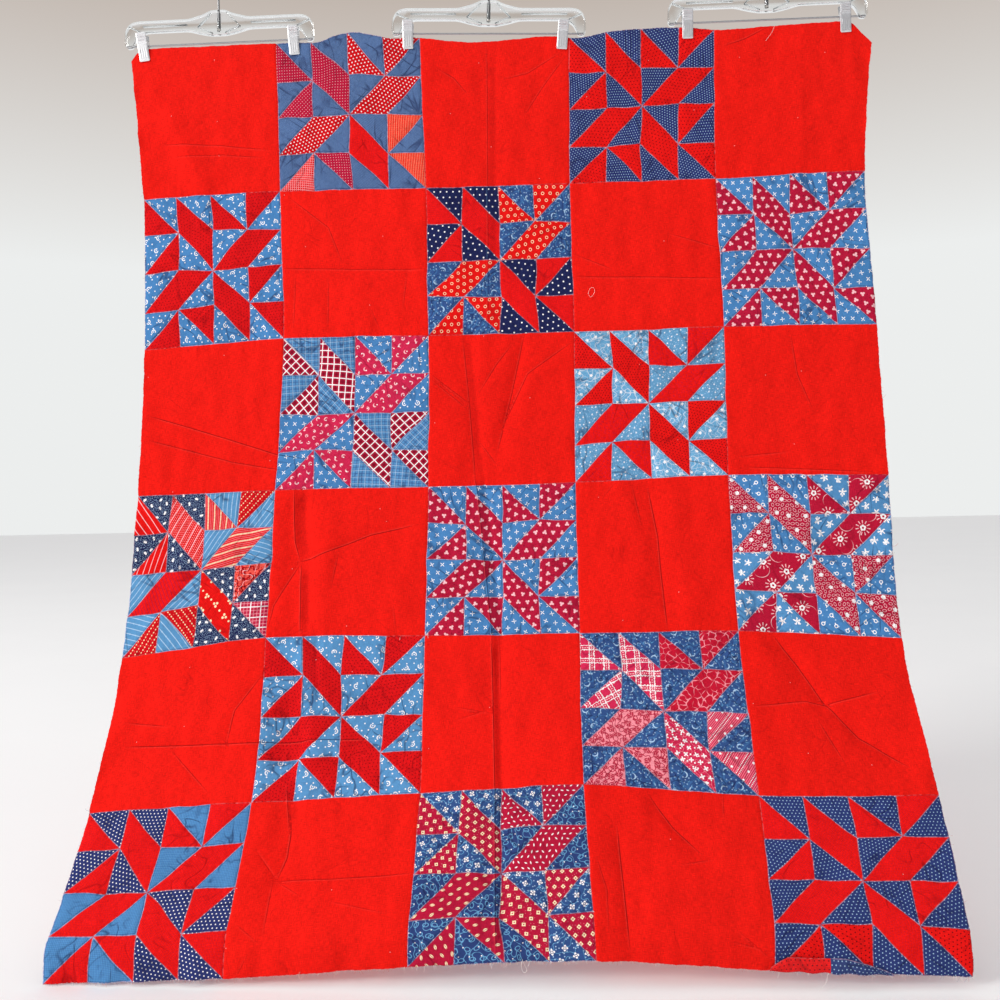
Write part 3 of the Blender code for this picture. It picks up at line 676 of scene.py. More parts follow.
def mesh_from(name, points, triangles, slots=None, maps=None):
    """A mesh of triangles. maps holds one array per map, three corners to a triangle."""
    mesh = bpy.data.meshes.new(name)
    triangles = np.asarray(triangles, np.int32)
    mesh.vertices.add(len(points))
    mesh.vertices.foreach_set("co", np.asarray(points, np.float32).ravel())
    mesh.loops.add(triangles.size)
    mesh.loops.foreach_set("vertex_index", triangles.ravel())
    mesh.polygons.add(len(triangles))
    mesh.polygons.foreach_set("loop_start", np.arange(0, triangles.size, 3, dtype=np.int32))
    for label, corners in (maps or {}).items():
        layer = mesh.uv_layers.new(name=label)
        layer.data.foreach_set("uv", np.asarray(corners, np.float32).ravel())
    if slots is not None:
        mesh.polygons.foreach_set("material_index", np.asarray(slots, np.int32))
    mesh.update(calc_edges=True)
    mesh.validate()
    return mesh


def add_object(name, mesh, *finishes):
    made = bpy.data.objects.new(name, mesh)
    bpy.context.scene.collection.objects.link(made)
    for finish in finishes:
        mesh.materials.append(finish)
    return made


def face_outwards(mesh):
    bm = bmesh.new()
    bm.from_mesh(mesh)
    bmesh.ops.recalc_face_normals(bm, faces=bm.faces)
    bm.to_mesh(mesh)
    bm.free()


def rim_loop(columns, rows):
    """Numbers of the points round the edge of a grid, in order."""
    width = columns + 1
    loop = list(range(columns)) + [row * width + columns for row in range(rows)]
    loop += [rows * width + columns - step for step in range(columns)]
    return loop + [(rows - row) * width for row in range(rows)]


def smooth(mesh, degrees):
    mesh.shade_smooth()
    mesh.set_sharp_from_angle(angle=math.radians(degrees))


def from_bmesh(name, bm):
    bmesh.ops.recalc_face_normals(bm, faces=bm.faces)
    mesh = bpy.data.meshes.new(name)
    bm.to_mesh(mesh)
    bm.free()
    return mesh


def applied(name, mesh, *modifiers):
    """The mesh with modifiers applied: pairs of modifier type and settings."""
    source = bpy.data.objects.new(name + "_source", mesh)
    bpy.context.scene.collection.objects.link(source)
    for kind, settings in modifiers:
        modifier = source.modifiers.new(kind.lower(), kind)
        for key, value in settings.items():
            setattr(modifier, key, value)
    bpy.context.view_layer.update()
    made = bpy.data.meshes.new_from_object(source.evaluated_get(bpy.context.evaluated_depsgraph_get()))
    bpy.data.objects.remove(source)
    made.name = name
    return made


def tube(path, radius, sides):
    """Points and triangles of a round tube along a path. radius is one number or one per point."""
    path = np.asarray(path, float)
    radii = np.broadcast_to(np.asarray(radius, float), (len(path),))
    tangent = np.gradient(path, axis=0)
    tangent /= np.maximum(np.linalg.norm(tangent, axis=1, keepdims=True), 1e-12)
    guide = np.array((0.31, 0.77, 0.55))
    if abs(tangent[0] @ guide) >= 0.9:
        guide = np.array((1.0, 0, 0))
    first = guide - tangent[0] * (guide @ tangent[0])
    first /= np.linalg.norm(first)
    rings = []
    for place, direction, size in zip(path, tangent, radii):
        first = first - direction * (first @ direction)
        first /= np.linalg.norm(first)
        second = np.cross(direction, first)
        turn = np.arange(sides) * TURN / sides
        rings.append(place + size * (np.outer(np.cos(turn), first) + np.outer(np.sin(turn), second)))
    points = np.concatenate(rings)
    faces = []
    for ring in range(len(path) - 1):
        for side in range(sides):
            a, b = ring * sides + side, ring * sides + (side + 1) % sides
            faces += [(a, b, b + sides), (a, b + sides, a + sides)]
    for start, flip in ((0, True), ((len(path) - 1) * sides, False)):
        for side in range(1, sides - 1):
            face = (start, start + side, start + side + 1)
            faces.append(face[::-1] if flip else face)
    return points, np.array(faces)


def smooth_path(points, steps):
    """Smooth curve through points."""
    held = [points[0]] + list(points) + [points[-1]]
    found = []
    for a, b, c, d in zip(held, held[1:], held[2:], held[3:]):
        for step in range(steps):
            t = step / steps
            found.append(0.5 * ((2 * b) + (c - a) * t + (2 * a - 5 * b + 4 * c - d) * t * t
                                + (3 * b - a - 3 * c + d) * t ** 3))
    return found + [points[-1]]


def gather(shapes):
    """Joins (points, triangles) pairs."""
    points, faces, count = [], [], 0
    for place, face in shapes:
        points.append(place)
        faces.append(np.asarray(face) + count)
        count += len(place)
    return np.concatenate(points), np.concatenate(faces)


# ---- Finishes -----------------------------------------------------------------------------------------

def plug(tree, socket, value):
    if isinstance(value, Wire):
        tree.links.new(value.socket, socket)
    elif hasattr(value, "__len__") and len(value) == 3 and socket.type == "RGBA":
        socket.default_value = (*value, 1.0)
    else:
        socket.default_value = value


class Wire:
    """An output socket that can be used in sums."""

    def __init__(self, tree, socket):
        self.tree = tree
        self.socket = socket

    def sum(self, operation, *values, clamp=False):
        node = self.tree.nodes.new("ShaderNodeMath")
        node.operation = operation
        node.use_clamp = clamp
        for place, value in enumerate(values):
            plug(self.tree, node.inputs[place], value)
        return Wire(self.tree, node.outputs[0])

    def __add__(self, other):
        return self.sum("ADD", self, other)

    __radd__ = __add__

    def __sub__(self, other):
        return self.sum("SUBTRACT", self, other)

    def __rsub__(self, other):
        return self.sum("SUBTRACT", other, self)

    def __mul__(self, other):
        return self.sum("MULTIPLY", self, other)

    __rmul__ = __mul__

    def __truediv__(self, other):
        return self.sum("DIVIDE", self, other)

    def __pow__(self, other):
        return self.sum("POWER", self, other)

    def floor(self):
        return self.sum("FLOOR", self)

    def part(self):
        return self.sum("FRACT", self)

    def size(self):
        return self.sum("ABSOLUTE", self)

    def sine(self):
        return self.sum("SINE", self)

    def cosine(self):
        return self.sum("COSINE", self)

    def root(self):
        return self.sum("SQRT", self)

    def least(self, other):
        return self.sum("MINIMUM", self, other)

    def most(self, other):
        return self.sum("MAXIMUM", self, other)

    def limited(self):
        return self.sum("ADD", self, 0.0, clamp=True)


EDGE = 0.55 * MM


def inside(distance):
    """1 where a distance in metres is below zero, with a soft edge."""
    return distance.sum("MULTIPLY_ADD", distance, -1 / EDGE, 0.5, clamp=True)


class Graph:
    """Adds nodes to one tree."""

    def __init__(self, tree):
        self.tree = tree

    def node(self, kind, settings, sockets, out=0):
        """Any other node: its type, its settings and the values or links of its sockets."""
        made = self.tree.nodes.new(kind)
        for key, value in settings.items():
            setattr(made, key, value)
        for key, value in sockets.items():
            plug(self.tree, made.inputs[key], value)
        return Wire(self.tree, made.outputs[out])

    def mix(self, factor, first, second):
        return self.node("ShaderNodeMix", {"data_type": "RGBA"}, {0: factor, 6: first, 7: second}, 2)

    def vector(self, x, y, z=0.0):
        return self.node("ShaderNodeCombineXYZ", {}, {0: x, 1: y, 2: z})

    def parts(self, vector):
        split = self.node("ShaderNodeSeparateXYZ", {}, {0: vector}).socket.node
        return [Wire(self.tree, socket) for socket in split.outputs]

    def map(self, name):
        return self.parts(self.node("ShaderNodeUVMap", {"uv_map": name}, {}))[:2]

    def place(self):
        return self.node("ShaderNodeTexCoord", {}, {}, 3)

    def noise(self, vector, scale, detail=2.0, flat=False):
        return self.node("ShaderNodeTexNoise", {"noise_dimensions": "2D" if flat else "3D"},
                         {"Vector": vector, "Scale": scale, "Detail": detail})


class Finish(Graph):
    """Builds one material."""

    def __init__(self, name):
        self.material = bpy.data.materials.new(name)
        self.material.use_nodes = True
        super().__init__(self.material.node_tree)
        self.shader = self.tree.nodes["Principled BSDF"]

    def shaded(self, colour, value):
        return self.node("ShaderNodeHueSaturation", {}, {"Value": value, "Color": colour})

    def bump(self, height):
        return self.node("ShaderNodeBump", {}, {"Strength": 1.0, "Distance": 1.0, "Height": height})

    def drive(self, **values):
        for key, value in values.items():
            plug(self.tree, self.shader.inputs[key.replace("_", " ")], value)

    def turned(self, x, y, degrees):
        c, s = math.cos(math.radians(degrees)), math.sin(math.radians(degrees))
        return x * c + y * s, y * c - x * s

    def scatter(self, x, y, pitch, rows=None, stagger=0.5, wander=0.0, spin=1.0, seed=0.0):
        """Place in the nearest square of a staggered grid, each turned its own way. Sizes in millimetres."""
        rows = (rows or pitch) * MM
        pitch = pitch * MM
        level = y / rows
        row = level.floor()
        along = x / pitch + row * stagger
        place = along.floor()
        picks = self.parts(self.node("ShaderNodeTexWhiteNoise", {"noise_dimensions": "2D"},
                                     {"Vector": self.vector(place + seed, row)}, "Color"))
        dx = (along - place - 0.5) * pitch
        dy = (level - row - 0.5) * rows
        if wander:
            dx = dx - (picks[0] - 0.5) * (wander * MM)
            dy = dy - (picks[1] - 0.5) * (wander * MM)
        if spin:
            angle = picks[2] * (TURN * spin)
            c, s = angle.cosine(), angle.sine()
            dx, dy = dx * c + dy * s, dy * c - dx * s
        return dx, dy

    def reach(self, dx, dy):
        return (dx * dx + dy * dy).root()

    def angle(self, dx, dy):
        return dx.sum("ARCTAN2", dy, dx)

    # Shapes, all sizes in millimetres. Each gives 1 inside the ink.
    def dots(self, x, y, pitch, radius, rows=None, stagger=0.5, wander=0.0, seed=0.0):
        dx, dy = self.scatter(x, y, pitch, rows, stagger, wander, 0.0, seed)
        return inside(self.reach(dx, dy) - radius * MM)

    def ring(self, dx, dy, radius, width):
        return inside((self.reach(dx, dy) - radius * MM).size() - width * MM / 2)

    def arms(self, dx, dy, count, radius, waist, sharp=1.0):
        swing = (self.angle(dx, dy) * (count / 2)).cosine().size() ** sharp
        return inside(self.reach(dx, dy) - (swing * (1 - waist) + waist) * (radius * MM))

    def moon(self, dx, dy, radius, bite, shift):
        outer = self.reach(dx, dy) - radius * MM
        inner = bite * MM - self.reach(dx - shift * MM, dy)
        return inside(outer.most(inner))

    def horseshoe(self, dx, dy, radius, width):
        band = (self.reach(dx, dy) - radius * MM).size() - width * MM / 2
        gap = dx - 0.55 * radius * MM
        return inside(band.most(gap))

    def seed_shape(self, dx, dy, long, wide):
        bulge = (long * long / wide - wide) / 2 + wide
        up = self.reach(dx, dy - (bulge - wide) * MM)
        down = self.reach(dx, dy + (bulge - wide) * MM)
        return inside(up.most(down) - bulge * MM)

    def lines(self, across, pitch, width, shift=0.0):
        near = ((across / (pitch * MM) + shift).part() - 0.5).size() * (pitch * MM)
        return inside(near - width * MM / 2)

    def specks(self, x, y, spacing, radius):
        away = self.node("ShaderNodeTexVoronoi", {"voronoi_dimensions": "2D"},
                         {"Vector": self.vector(x, y), "Scale": 1 / (spacing * MM)})
        return inside(away * (spacing * MM) - radius * MM)

    def branches(self, x, y, spacing, width):
        bend = self.noise(self.vector(x, y), 1 / (spacing * MM), 1.0, True)
        away = self.node("ShaderNodeTexVoronoi", {"voronoi_dimensions": "2D", "feature": "DISTANCE_TO_EDGE"},
                         {"Vector": self.vector(x + bend * (spacing * MM * 0.7), y), "Scale": 1 / (spacing * MM)})
        broken = self.noise(self.vector(y, x), 1.3 / (spacing * MM), 0.0, True)
        return inside(away * (spacing * MM) - (broken - 0.30) * (width * MM * 1.9))

    def curls(self, x, y, size, width, level=0.5):
        field = self.noise(self.vector(x, y), 1 / (size * MM), 0.0, True)
        return inside((field - level).size() * (size * MM * 1.6) - width * MM / 2)


def over(f, ground, *inks):
    """Lays inks over a ground: pairs of mask and colour."""
    colour = ground
    for mask, ink in inks:
        colour = f.mix(mask, colour, ink)
    return colour


def crossed(f, x, y, pitch, width, strength, ink, shift=0.0):
    """Lines both ways, as two inks."""
    return [(f.lines(at, pitch, width, shift) * strength, ink) for at in (x, y)]


# ---- Prints: each takes the material, the place on the cloth and the colours ---------------------------

def turkey_red(f, x, y, c):
    return over(f, c.red, (f.noise(f.vector(x * 9, y), 60.0) * 0.12, c.orange))


def chambray(f, x, y, c):
    return over(f, c.denim, (f.lines(x, 1.9, 0.8) * 0.35, c.pale_blue), (f.lines(y, 1.9, 0.8) * 0.35, c.navy))


def chambray_pale(f, x, y, c):
    return over(f, c.blue, (f.lines(x, 2.6, 1.0) * 0.45, c.sky), (f.lines(y, 2.6, 1.0) * 0.3, c.slate))


def navy_grid(f, x, y, c):
    return over(f, c.navy, (f.dots(x, y, 4.6, 0.75), c.pale_blue))


def navy_pin(f, x, y, c):
    return over(f, c.navy, (f.dots(x, y, 6.4, 1.0, rows=5.6), c.white))


def navy_micro(f, x, y, c):
    return over(f, f.mix(0.15, c.navy, c.slate), (f.dots(x, y, 5.6, 0.8, rows=5.0, wander=0.8), c.pale_blue))


def navy_polka(f, x, y, c):
    return over(f, c.ink_navy, (f.specks(x, y, 4.0, 0.7) * 0.3, c.slate),
                (f.dots(x, y, 11.6, 1.45, rows=10.6), c.white))


def navy_moon(f, x, y, c):
    big = f.scatter(x, y, 26, rows=24, wander=6)
    small = f.scatter(x, y, 13, rows=12, wander=5, seed=9.0)
    return over(f, c.slate, (f.curls(x, y, 15, 3.4, 0.56) * 0.34, c.blue),
                (f.specks(x, y, 7.5, 1.1) * 0.7, c.pale_blue), (f.moon(*small, 2.4, 2.2, 1.1) * 0.7, c.sky),
                (f.moon(*big, 5.2, 5.0, 1.9), c.pale_blue),
                (f.curls(x + 0.004, y, 15, 1.0, 0.50) * 0.75, c.ink_navy))


def horseshoe(f, x, y, c, ground):
    big = f.scatter(x, y, 24, rows=21, wander=3)
    return over(f, ground, (f.dots(x, y, 12, 1.2, rows=10.5, wander=3, seed=5.0), c.white),
                (f.horseshoe(*big, 3.6, 1.5), c.white), (inside(f.reach(*big) - 1.1 * MM), c.white))


def horseshoe_blue(f, x, y, c):
    return horseshoe(f, x, y, c, c.blue)


def horseshoe_sky(f, x, y, c):
    return horseshoe(f, x, y, c, f.mix(0.35, c.blue, c.sky))


def cross_blue(f, x, y, c):
    return over(f, c.blue, (f.arms(*f.scatter(x, y, 16.4, rows=13.8, wander=2, spin=0.16), 4, 4.3, 0.08, 4.0), c.white))


def blue_plaid(f, x, y, c):
    return over(f, f.mix(0.35, c.blue, c.sky), *crossed(f, x, y, 6.0, 2.4, 0.5, c.slate),
                *crossed(f, x, y, 12.0, 0.9, 0.8, c.pale_blue, 0.3))


def sky_vine(f, x, y, c):
    buds = f.scatter(x, y, 22, rows=19, wander=7)
    return over(f, c.sky, (f.specks(x, y, 6, 0.9) * 0.6, c.blue), (f.curls(x, y, 13, 1.2, 0.5) * 0.50, c.white),
                (f.curls(x + 0.05, y, 9, 0.8, 0.46) * 0.35, c.white), (f.arms(*buds, 5, 3.0, 0.5), c.white))


def sky_dots(f, x, y, c):
    return over(f, f.mix(0.22, c.sky, c.slate), (f.specks(x, y, 5, 0.8) * 0.8, c.pale_blue),
                (f.dots(x, y, 11, 1.3, rows=9, wander=6, seed=3.0) * 0.8, c.white))


def sky_stripe(f, x, y, c):
    return over(f, f.mix(0.45, c.blue, c.sky), (f.lines(y, 8.6, 1.3), c.pale_blue),
                (f.dots(x, y + 0.0043, 12.0, 1.2, rows=17.2, stagger=0.0), c.pale_blue))


def navy_sprig(f, x, y, c):
    place = f.scatter(x, y, 17.5, rows=15, wander=5)
    return over(f, c.ink_navy, (f.specks(x, y, 2.6, 0.65) * 0.6, c.pale_blue),
                (f.arms(*place, 2, 3.3, 0.22, 0.8), c.white),
                (f.arms(place[0] - 0.0012, place[1] + 0.0008, 3, 2.0, 0.3), c.white))


def ring_blue(f, x, y, c):
    big = f.scatter(x, y, 19, rows=17, wander=3)
    return over(f, c.blue, (f.dots(x, y, 12, 1.2, rows=10, wander=4, seed=7.0), c.pale_blue),
                (f.ring(*big, 2.6, 1.4), c.white), (f.seed_shape(big[0] - 0.0035, big[1], 2.4, 0.9), c.white))


def bloom_blue(f, x, y, c):
    big = f.scatter(x, y, 21, rows=18.5, wander=4)
    uneven = f.noise(f.vector(x, y), 260.0, 1.0, True) * 0.004 - 0.002
    return over(f, f.mix(0.3, c.blue, c.sky), (f.arms(big[0] + uneven, big[1] + uneven, 5, 6.4, 0.16, 1.8), c.white),
                (f.arms(*f.scatter(x, y, 21, rows=18.5, wander=10, seed=4.0), 3, 2.8, 0.2) * 0.8, c.white))


def navy_flower(f, x, y, c):
    big = f.scatter(x, y, 20, rows=17, wander=4)
    return over(f, c.slate, (f.curls(x, y, 12, 1.0) * 0.8, c.sky), (f.specks(x, y, 7, 0.9), c.pale_blue),
                (f.arms(*big, 4, 4.6, 0.45, 1.2), c.white), (f.ring(*big, 1.7, 0.9), c.navy))


def navy_oval(f, x, y, c):
    big = f.scatter(x, y, 14, rows=14, wander=3)
    return over(f, f.mix(0.4, c.navy, c.slate), (f.curls(x, y, 12, 1.0, 0.47) * 0.9, c.sky),
                (f.ring(big[0] * 1.5, big[1], 4.0, 1.3), c.sky), (f.dots(x, y, 15, 0.9, wander=8, seed=2.0), c.white))


def red_fine(f, x, y, c):
    return over(f, c.bright, (f.dots(x, y, 4.4, 0.6, rows=3.8, wander=0.6) * 0.7, c.wine))


def red_faint(f, x, y, c):
    return over(f, c.bright, (f.specks(x, y, 5.0, 1.1) * 0.45, c.wine))


def red_seed(f, x, y, c):
    place = f.scatter(x, y, 5.4, rows=4.8, wander=1.6)
    return over(f, c.bright, (f.seed_shape(*place, 1.2, 0.6), c.black))


def red_pepper(f, x, y, c):
    return over(f, c.bright, (f.dots(x, y, 6.4, 0.85, rows=5.6, wander=0.6), c.black))


def crimson_dash(f, x, y, c):
    place = f.scatter(x, y, 6.2, rows=5.4, wander=1.6)
    return over(f, f.mix(0.5, c.bright, c.crimson), (f.seed_shape(*place, 1.5, 0.6) * 0.75, c.black))


def red_polka(f, x, y, c):
    return over(f, c.crimson, (f.dots(x, y, 6.2, 1.15), c.white))


def wine_pin(f, x, y, c):
    return over(f, c.wine, (f.dots(x, y, 4.8, 0.62, stagger=0.0), c.blush))


def red_check(f, x, y, c):
    return over(f, c.bright, *crossed(f, x, y, 4.0, 0.8, 0.6, c.blush))


def orange_check(f, x, y, c):
    return over(f, f.mix(0.5, c.bright, c.orange), (f.lines(x, 3.2, 0.7) * 0.4, c.cream),
                (f.lines(y, 3.2, 0.7) * 0.3, c.wine))


def red_ring(f, x, y, c):
    place = f.scatter(x, y, 13.6, rows=12.0, wander=1.0, spin=0.0)
    return over(f, c.bright, (f.ring(*place, 2.4, 0.95), c.cream))


def wine_trefoil(f, x, y, c):
    place = f.scatter(x, y, 16.6, rows=14.0, wander=2.4)
    return over(f, c.wine, (f.specks(x, y, 9.0, 1.1) * 0.4, c.black), (f.arms(*place, 3, 4.2, 0.36, 0.9), c.blush))


def wine_window(f, x, y, c):
    return over(f, c.wine, *crossed(f, x, y, 12.0, 4.0, 0.35, c.black), *crossed(f, x, y, 12.0, 1.7, 1.0, c.white, 0.5))


def wine_comma(f, x, y, c):
    big = f.scatter(x, y, 15, rows=13, wander=4)
    return over(f, f.mix(0.8, c.wine, c.pink_wine), (f.curls(x, y, 8, 0.9) * 0.5, c.wine),
                (f.moon(*big, 3.4, 3.0, 1.8), c.blush),
                (f.dots(x, y, 15, 1.1, rows=13, wander=6, seed=6.0), c.white))


def pale_stripe(f, x, y, c):
    return over(f, c.bright, (f.specks(x, y, 4, 0.5) * 0.6, c.crimson), (f.lines(y, 11.0, 1.2), c.blush))


def dotty_stripe(f, x, y, c):
    return over(f, c.bright, (f.dots(x, y, 3.6, 0.62, rows=3.2), c.blush), (f.lines(y, 12.0, 1.3), c.blush))


def cream_stripe(f, x, y, c):
    return over(f, c.bright, (f.lines(y, 3.2, 0.9) * 0.8, c.pink), (f.lines(y, 12.8, 3.0, 0.25), c.bright),
                (f.dots(x, y + 0.0032, 2.6, 1.25, rows=12.8, stagger=0.0), c.cream))


def bead_stripe(f, x, y, c):
    return over(f, c.crimson, (f.lines(y, 9.6, 0.7), c.coral), (f.dots(x, y, 5.4, 1.15, rows=9.6), c.cream),
                (f.dots(x, y + 0.0048, 10.8, 0.9, rows=9.6), c.coral))


def dark_stripe(f, x, y, c):
    return over(f, c.bright, (f.lines(y, 6.0, 1.0), c.wine), (f.lines(x, 7.0, 0.8) * 0.4, c.wine))


def red_cluster(f, x, y, c):
    place = f.scatter(x, y, 27, rows=25, wander=3)
    angle = f.angle(*place)
    third = ((angle / (TURN / 3)).part() - 0.5) * (TURN / 3)
    away = f.reach(*place)
    petals = inside(f.reach(away * third.cosine() - 3.3 * MM, away * third.sine()) - 2.2 * MM)
    return over(f, c.bright, (f.dots(x, y, 27, 1.9, rows=25, stagger=1.0, seed=8.0), c.cream), (petals, c.cream))


def coral_leaf(f, x, y, c):
    return over(f, c.coral, (f.curls(x, y, 9, 2.6, 0.53), c.crimson), (f.curls(x, y, 9, 0.8, 0.58), c.black),
                (f.curls(x, y, 14, 1.0, 0.46), c.blush), (f.specks(x, y, 7, 1.0), c.crimson))


def wine_plaid(f, x, y, c):
    return over(f, c.pink_wine, *crossed(f, x, y, 6.4, 2.6, 0.5, c.wine),
                *crossed(f, x, y, 6.4, 0.9, 0.6, c.blush, 0.5), *crossed(f, x, y, 19.2, 1.8, 1.0, c.white, 0.5))


def wine_oval(f, x, y, c):
    place = f.scatter(x, y, 8.0, rows=7.6, wander=1.2)
    big = f.scatter(x, y, 24, rows=22.8, wander=6, seed=3.0)
    return over(f, c.wine, (f.ring(place[0] * 1.55, place[1], 3.0, 1.05) * 0.85, c.blush),
                (f.arms(*big, 5, 3.8, 0.75), c.white))


def wine_bloom(f, x, y, c):
    big = f.scatter(x, y, 40, rows=36, wander=5)
    far = f.reach(*big)
    rays = (f.angle(*big) * 11).cosine()
    spray = inside((far - 9.8 * MM).size() - 2.6 * MM).least((rays - 0.50) * 4).limited()
    stems = f.scatter(x + 0.014, y + 0.010, 40, rows=36, wander=8, seed=11.0)
    return over(f, f.mix(0.85, c.crimson, c.wine), (f.moon(*stems, 12.5, 12.7, 1.3), c.blush),
                (spray, c.blush), (f.arms(*big, 5, 5.2, 0.78), c.white), (inside(far - 1.9 * MM), c.wine))


def pink_plaid(f, x, y, c):
    wobble = (f.noise(f.vector(x, y), 330.0, 0.0, True) - 0.5) * 0.0028
    bands = []
    for across, along in ((x, y), (y, x)):
        bands += [(f.lines(across + wobble, 23.6, 1.5), c.white), (f.lines(across + wobble, 23.6, 1.5, 0.33), c.white),
                  (f.lines(across, 23.6, 2.0, 0.165).least(f.lines(along, 3.9, 1.9)), c.blush)]
    return over(f, c.pink_wine, *bands)


def wine_branch(f, x, y, c):
    return over(f, f.mix(0.3, c.wine, c.bright), (f.specks(x, y, 9, 1.8) * 0.4, c.wine),
                (f.branches(x, y, 11, 1.1), c.pink))


def pink_leaf(f, x, y, c):
    big = f.scatter(x, y, 15.5, rows=13.5, wander=3)
    veins = (f.lines(big[0] + big[1].size() * 0.7, 3.4, 0.7)).most(inside(big[1].size() - 0.4 * MM))
    leaf = f.seed_shape(big[1], big[0], 7.4, 4.2)
    return over(f, c.pink, (f.curls(x, y, 7, 1.6, 0.55), c.wine), (leaf, c.wine), (veins.least(leaf) * 0.9, c.pink))


def wine_diamond(f, x, y, c):
    big = f.scatter(x, y, 15, rows=12, wander=4)
    return over(f, c.pink_wine, (f.curls(x, y, 9, 1.2, 0.54) * 0.6, c.wine),
                (f.curls(x + 0.02, y, 9, 0.7, 0.48) * 0.7, c.pink),
                (f.arms(*big, 4, 4.4, 0.22, 1.6), c.white), (f.dots(x, y, 11, 1.4, wander=5, seed=2.0), c.white))


def pinstripe(f, x, y, c):
    blank = f.lines(y, 24.0, 7.5)
    beads = f.dots(x, y, 3.0, 0.9, rows=4.0).least(blank)
    return over(f, c.pink_wine, (f.lines(y, 2.9, 0.9) * 0.85, c.pink), (blank, c.pink_wine), (beads, c.white),
                (f.dots(x, y + 0.012, 17, 2.0, rows=24.0), c.white))


def wine_square(f, x, y, c):
    place = f.scatter(x, y, 13.5, rows=12, wander=1, spin=0.0)
    diamond = inside(place[0].size() + place[1].size() - 3.6 * MM)
    return over(f, c.wine, (f.specks(x, y, 6, 0.6) * 0.5, c.pink), (diamond, c.cream),
                (inside(f.reach(*place) - 1.0 * MM), c.wine))


def wine_grain(f, x, y, c):
    place = f.scatter(x, y, 9.6, rows=8.4, wander=2)
    return over(f, c.wine, (f.seed_shape(*place, 2.5, 1.0), c.white))


def wine_pod(f, x, y, c):
    place = f.scatter(x, y, 15, rows=13, wander=2, spin=0.12)
    pod = f.seed_shape(place[1], place[0], 4.2, 1.9)
    return over(f, c.wine, (pod, c.cream), (inside(place[0].size() - 0.3 * MM).least(pod), c.wine))


BLUE_PRINTS = (
    chambray, chambray_pale, navy_grid, navy_pin, navy_micro, navy_polka, navy_moon, horseshoe_blue,
    horseshoe_sky, cross_blue, blue_plaid, sky_vine, sky_dots, sky_stripe, navy_sprig, ring_blue, bloom_blue,
    navy_flower, navy_oval,
)
RED_PRINTS = (
    turkey_red, red_fine, red_faint, red_seed, red_pepper, crimson_dash, red_polka, wine_pin, red_check,
    orange_check, red_ring, wine_trefoil, wine_window, wine_comma, pale_stripe, dotty_stripe, cream_stripe,
    bead_stripe, dark_stripe, red_cluster, coral_leaf, wine_plaid, wine_oval, wine_bloom, pink_plaid,
    wine_branch, pink_leaf, wine_diamond, pinstripe, wine_square, wine_grain, wine_pod,
)

# ---- Cloth --------------------------------------------------------------------------------------------

# Base tone, then how far threads, clouds, patches and the choice of piece change it; how rare wrinkles are; how
# dark the painted shade in wrinkles, beside pressed folds and in creases turns; how pale the back is; crinkle height
# and wrinkle depth in mm.
Look = namedtuple("Look", "tone threads clouds patches pick rarity wrinkle shade crease back crinkle depth")
LOOKS = {
    "plain": Look(0.75, 0.80, 0.26, 0.18, 0.03, 0.60, 0.16, 0.34, 0.52, 0.22, 1.5, 0.30),
    "red": Look(0.75, 0.80, 0.26, 0.18, 0.03, 0.54, 0.36, 0.34, 0.52, 0.55, 2.0, 0.60),
    "blue": Look(0.80, 0.44, 0.10, 0.26, 0.12, 0.50, 0.66, 0.40, 0.75, 0.55, 2.0, 0.90),
}
# direction in degrees and scale of each set of wrinkles
WRINKLES = ((4, 46.0), (58, 52.0), (-47, 50.0))
WEAVE_PITCH = 1.05 * MM
CLOTH_ANGLE = 62


def wrinkles(f, place, degrees, scale, share):
    """Sharp little folds in one direction: how deep each point lies, 0 to 1, over a part of the cloth."""
    x, y, z = f.parts(place)
    x, z = f.turned(x, z, degrees)
    field = f.noise(f.vector(x, y, z * 0.26), scale, 0.6)
    ridge = (1.0 - (field - 0.5).size() * 26.0).limited()
    held = ((f.noise(f.vector(x + 0.7, y, z), scale * 0.36, 1.0) - share) * 7.0).limited()
    return ridge * held


def dyed(f, printed, place, x, y, pick, look):
    """The print with an uneven dye. Plain cloth has clouds that run down it."""
    threads = f.noise(f.vector(x * 12, y), 110.0) + f.noise(f.vector(x, y * 12), 110.0)
    right, away, up = f.parts(place)
    if look is LOOKS["plain"]:
        clouds = f.noise(f.vector(right * 4.5, away, up * 0.8), 9.0, 4.0)
    else:
        clouds = f.noise(place, 5.0, 4.0)
    patches = f.noise(place, 34.0, 3.0)
    return f.shaded(printed, look.tone + (threads - 1.0) * look.threads + clouds * look.clouds
                    + patches * look.patches + pick * look.pick)


def worn_seams(f, colour, colours, place, seam, look):
    """Painted shadow beside a seam, paler where the threads of its fold are rubbed, and on blue patches a pale line
    that is partly a painted highlight.
    """
    rubbed = ((f.noise(place, 190.0, 2.0) - 0.36) * 3.6).limited()
    near = (1.0 - (seam - 0.3 * MM) / (1.0 * MM)).limited()
    if look is LOOKS["blue"]:
        # Painted shadow: a dark navy line about 1.9 mm from the seam on blue patches.
        beside = (1.0 - (seam - 1.9 * MM).size() / (1.0 * MM)).limited()
        colour = f.mix(beside * (0.55 - rubbed * 0.3), colour, colours.ink_navy)
        # Pale line along the seam's edge: rubbed wear, partly a painted highlight.
        return f.mix(near * (rubbed * 0.50 + 0.12), colour, f.mix(0.5, colours.pale_blue, colours.pink))
    painted_shade, pale = (0.24, 0.10) if look is LOOKS["plain"] else (0.46, 0.18)
    # Painted shadow next to the seam.
    shadow = (1.0 - seam / (1.5 * MM)).limited()
    colour = f.mix(shadow * painted_shade * (1.0 - rubbed * 0.6), colour, colours.black)
    return f.mix(near * rubbed * pale, colour, colours.blush)


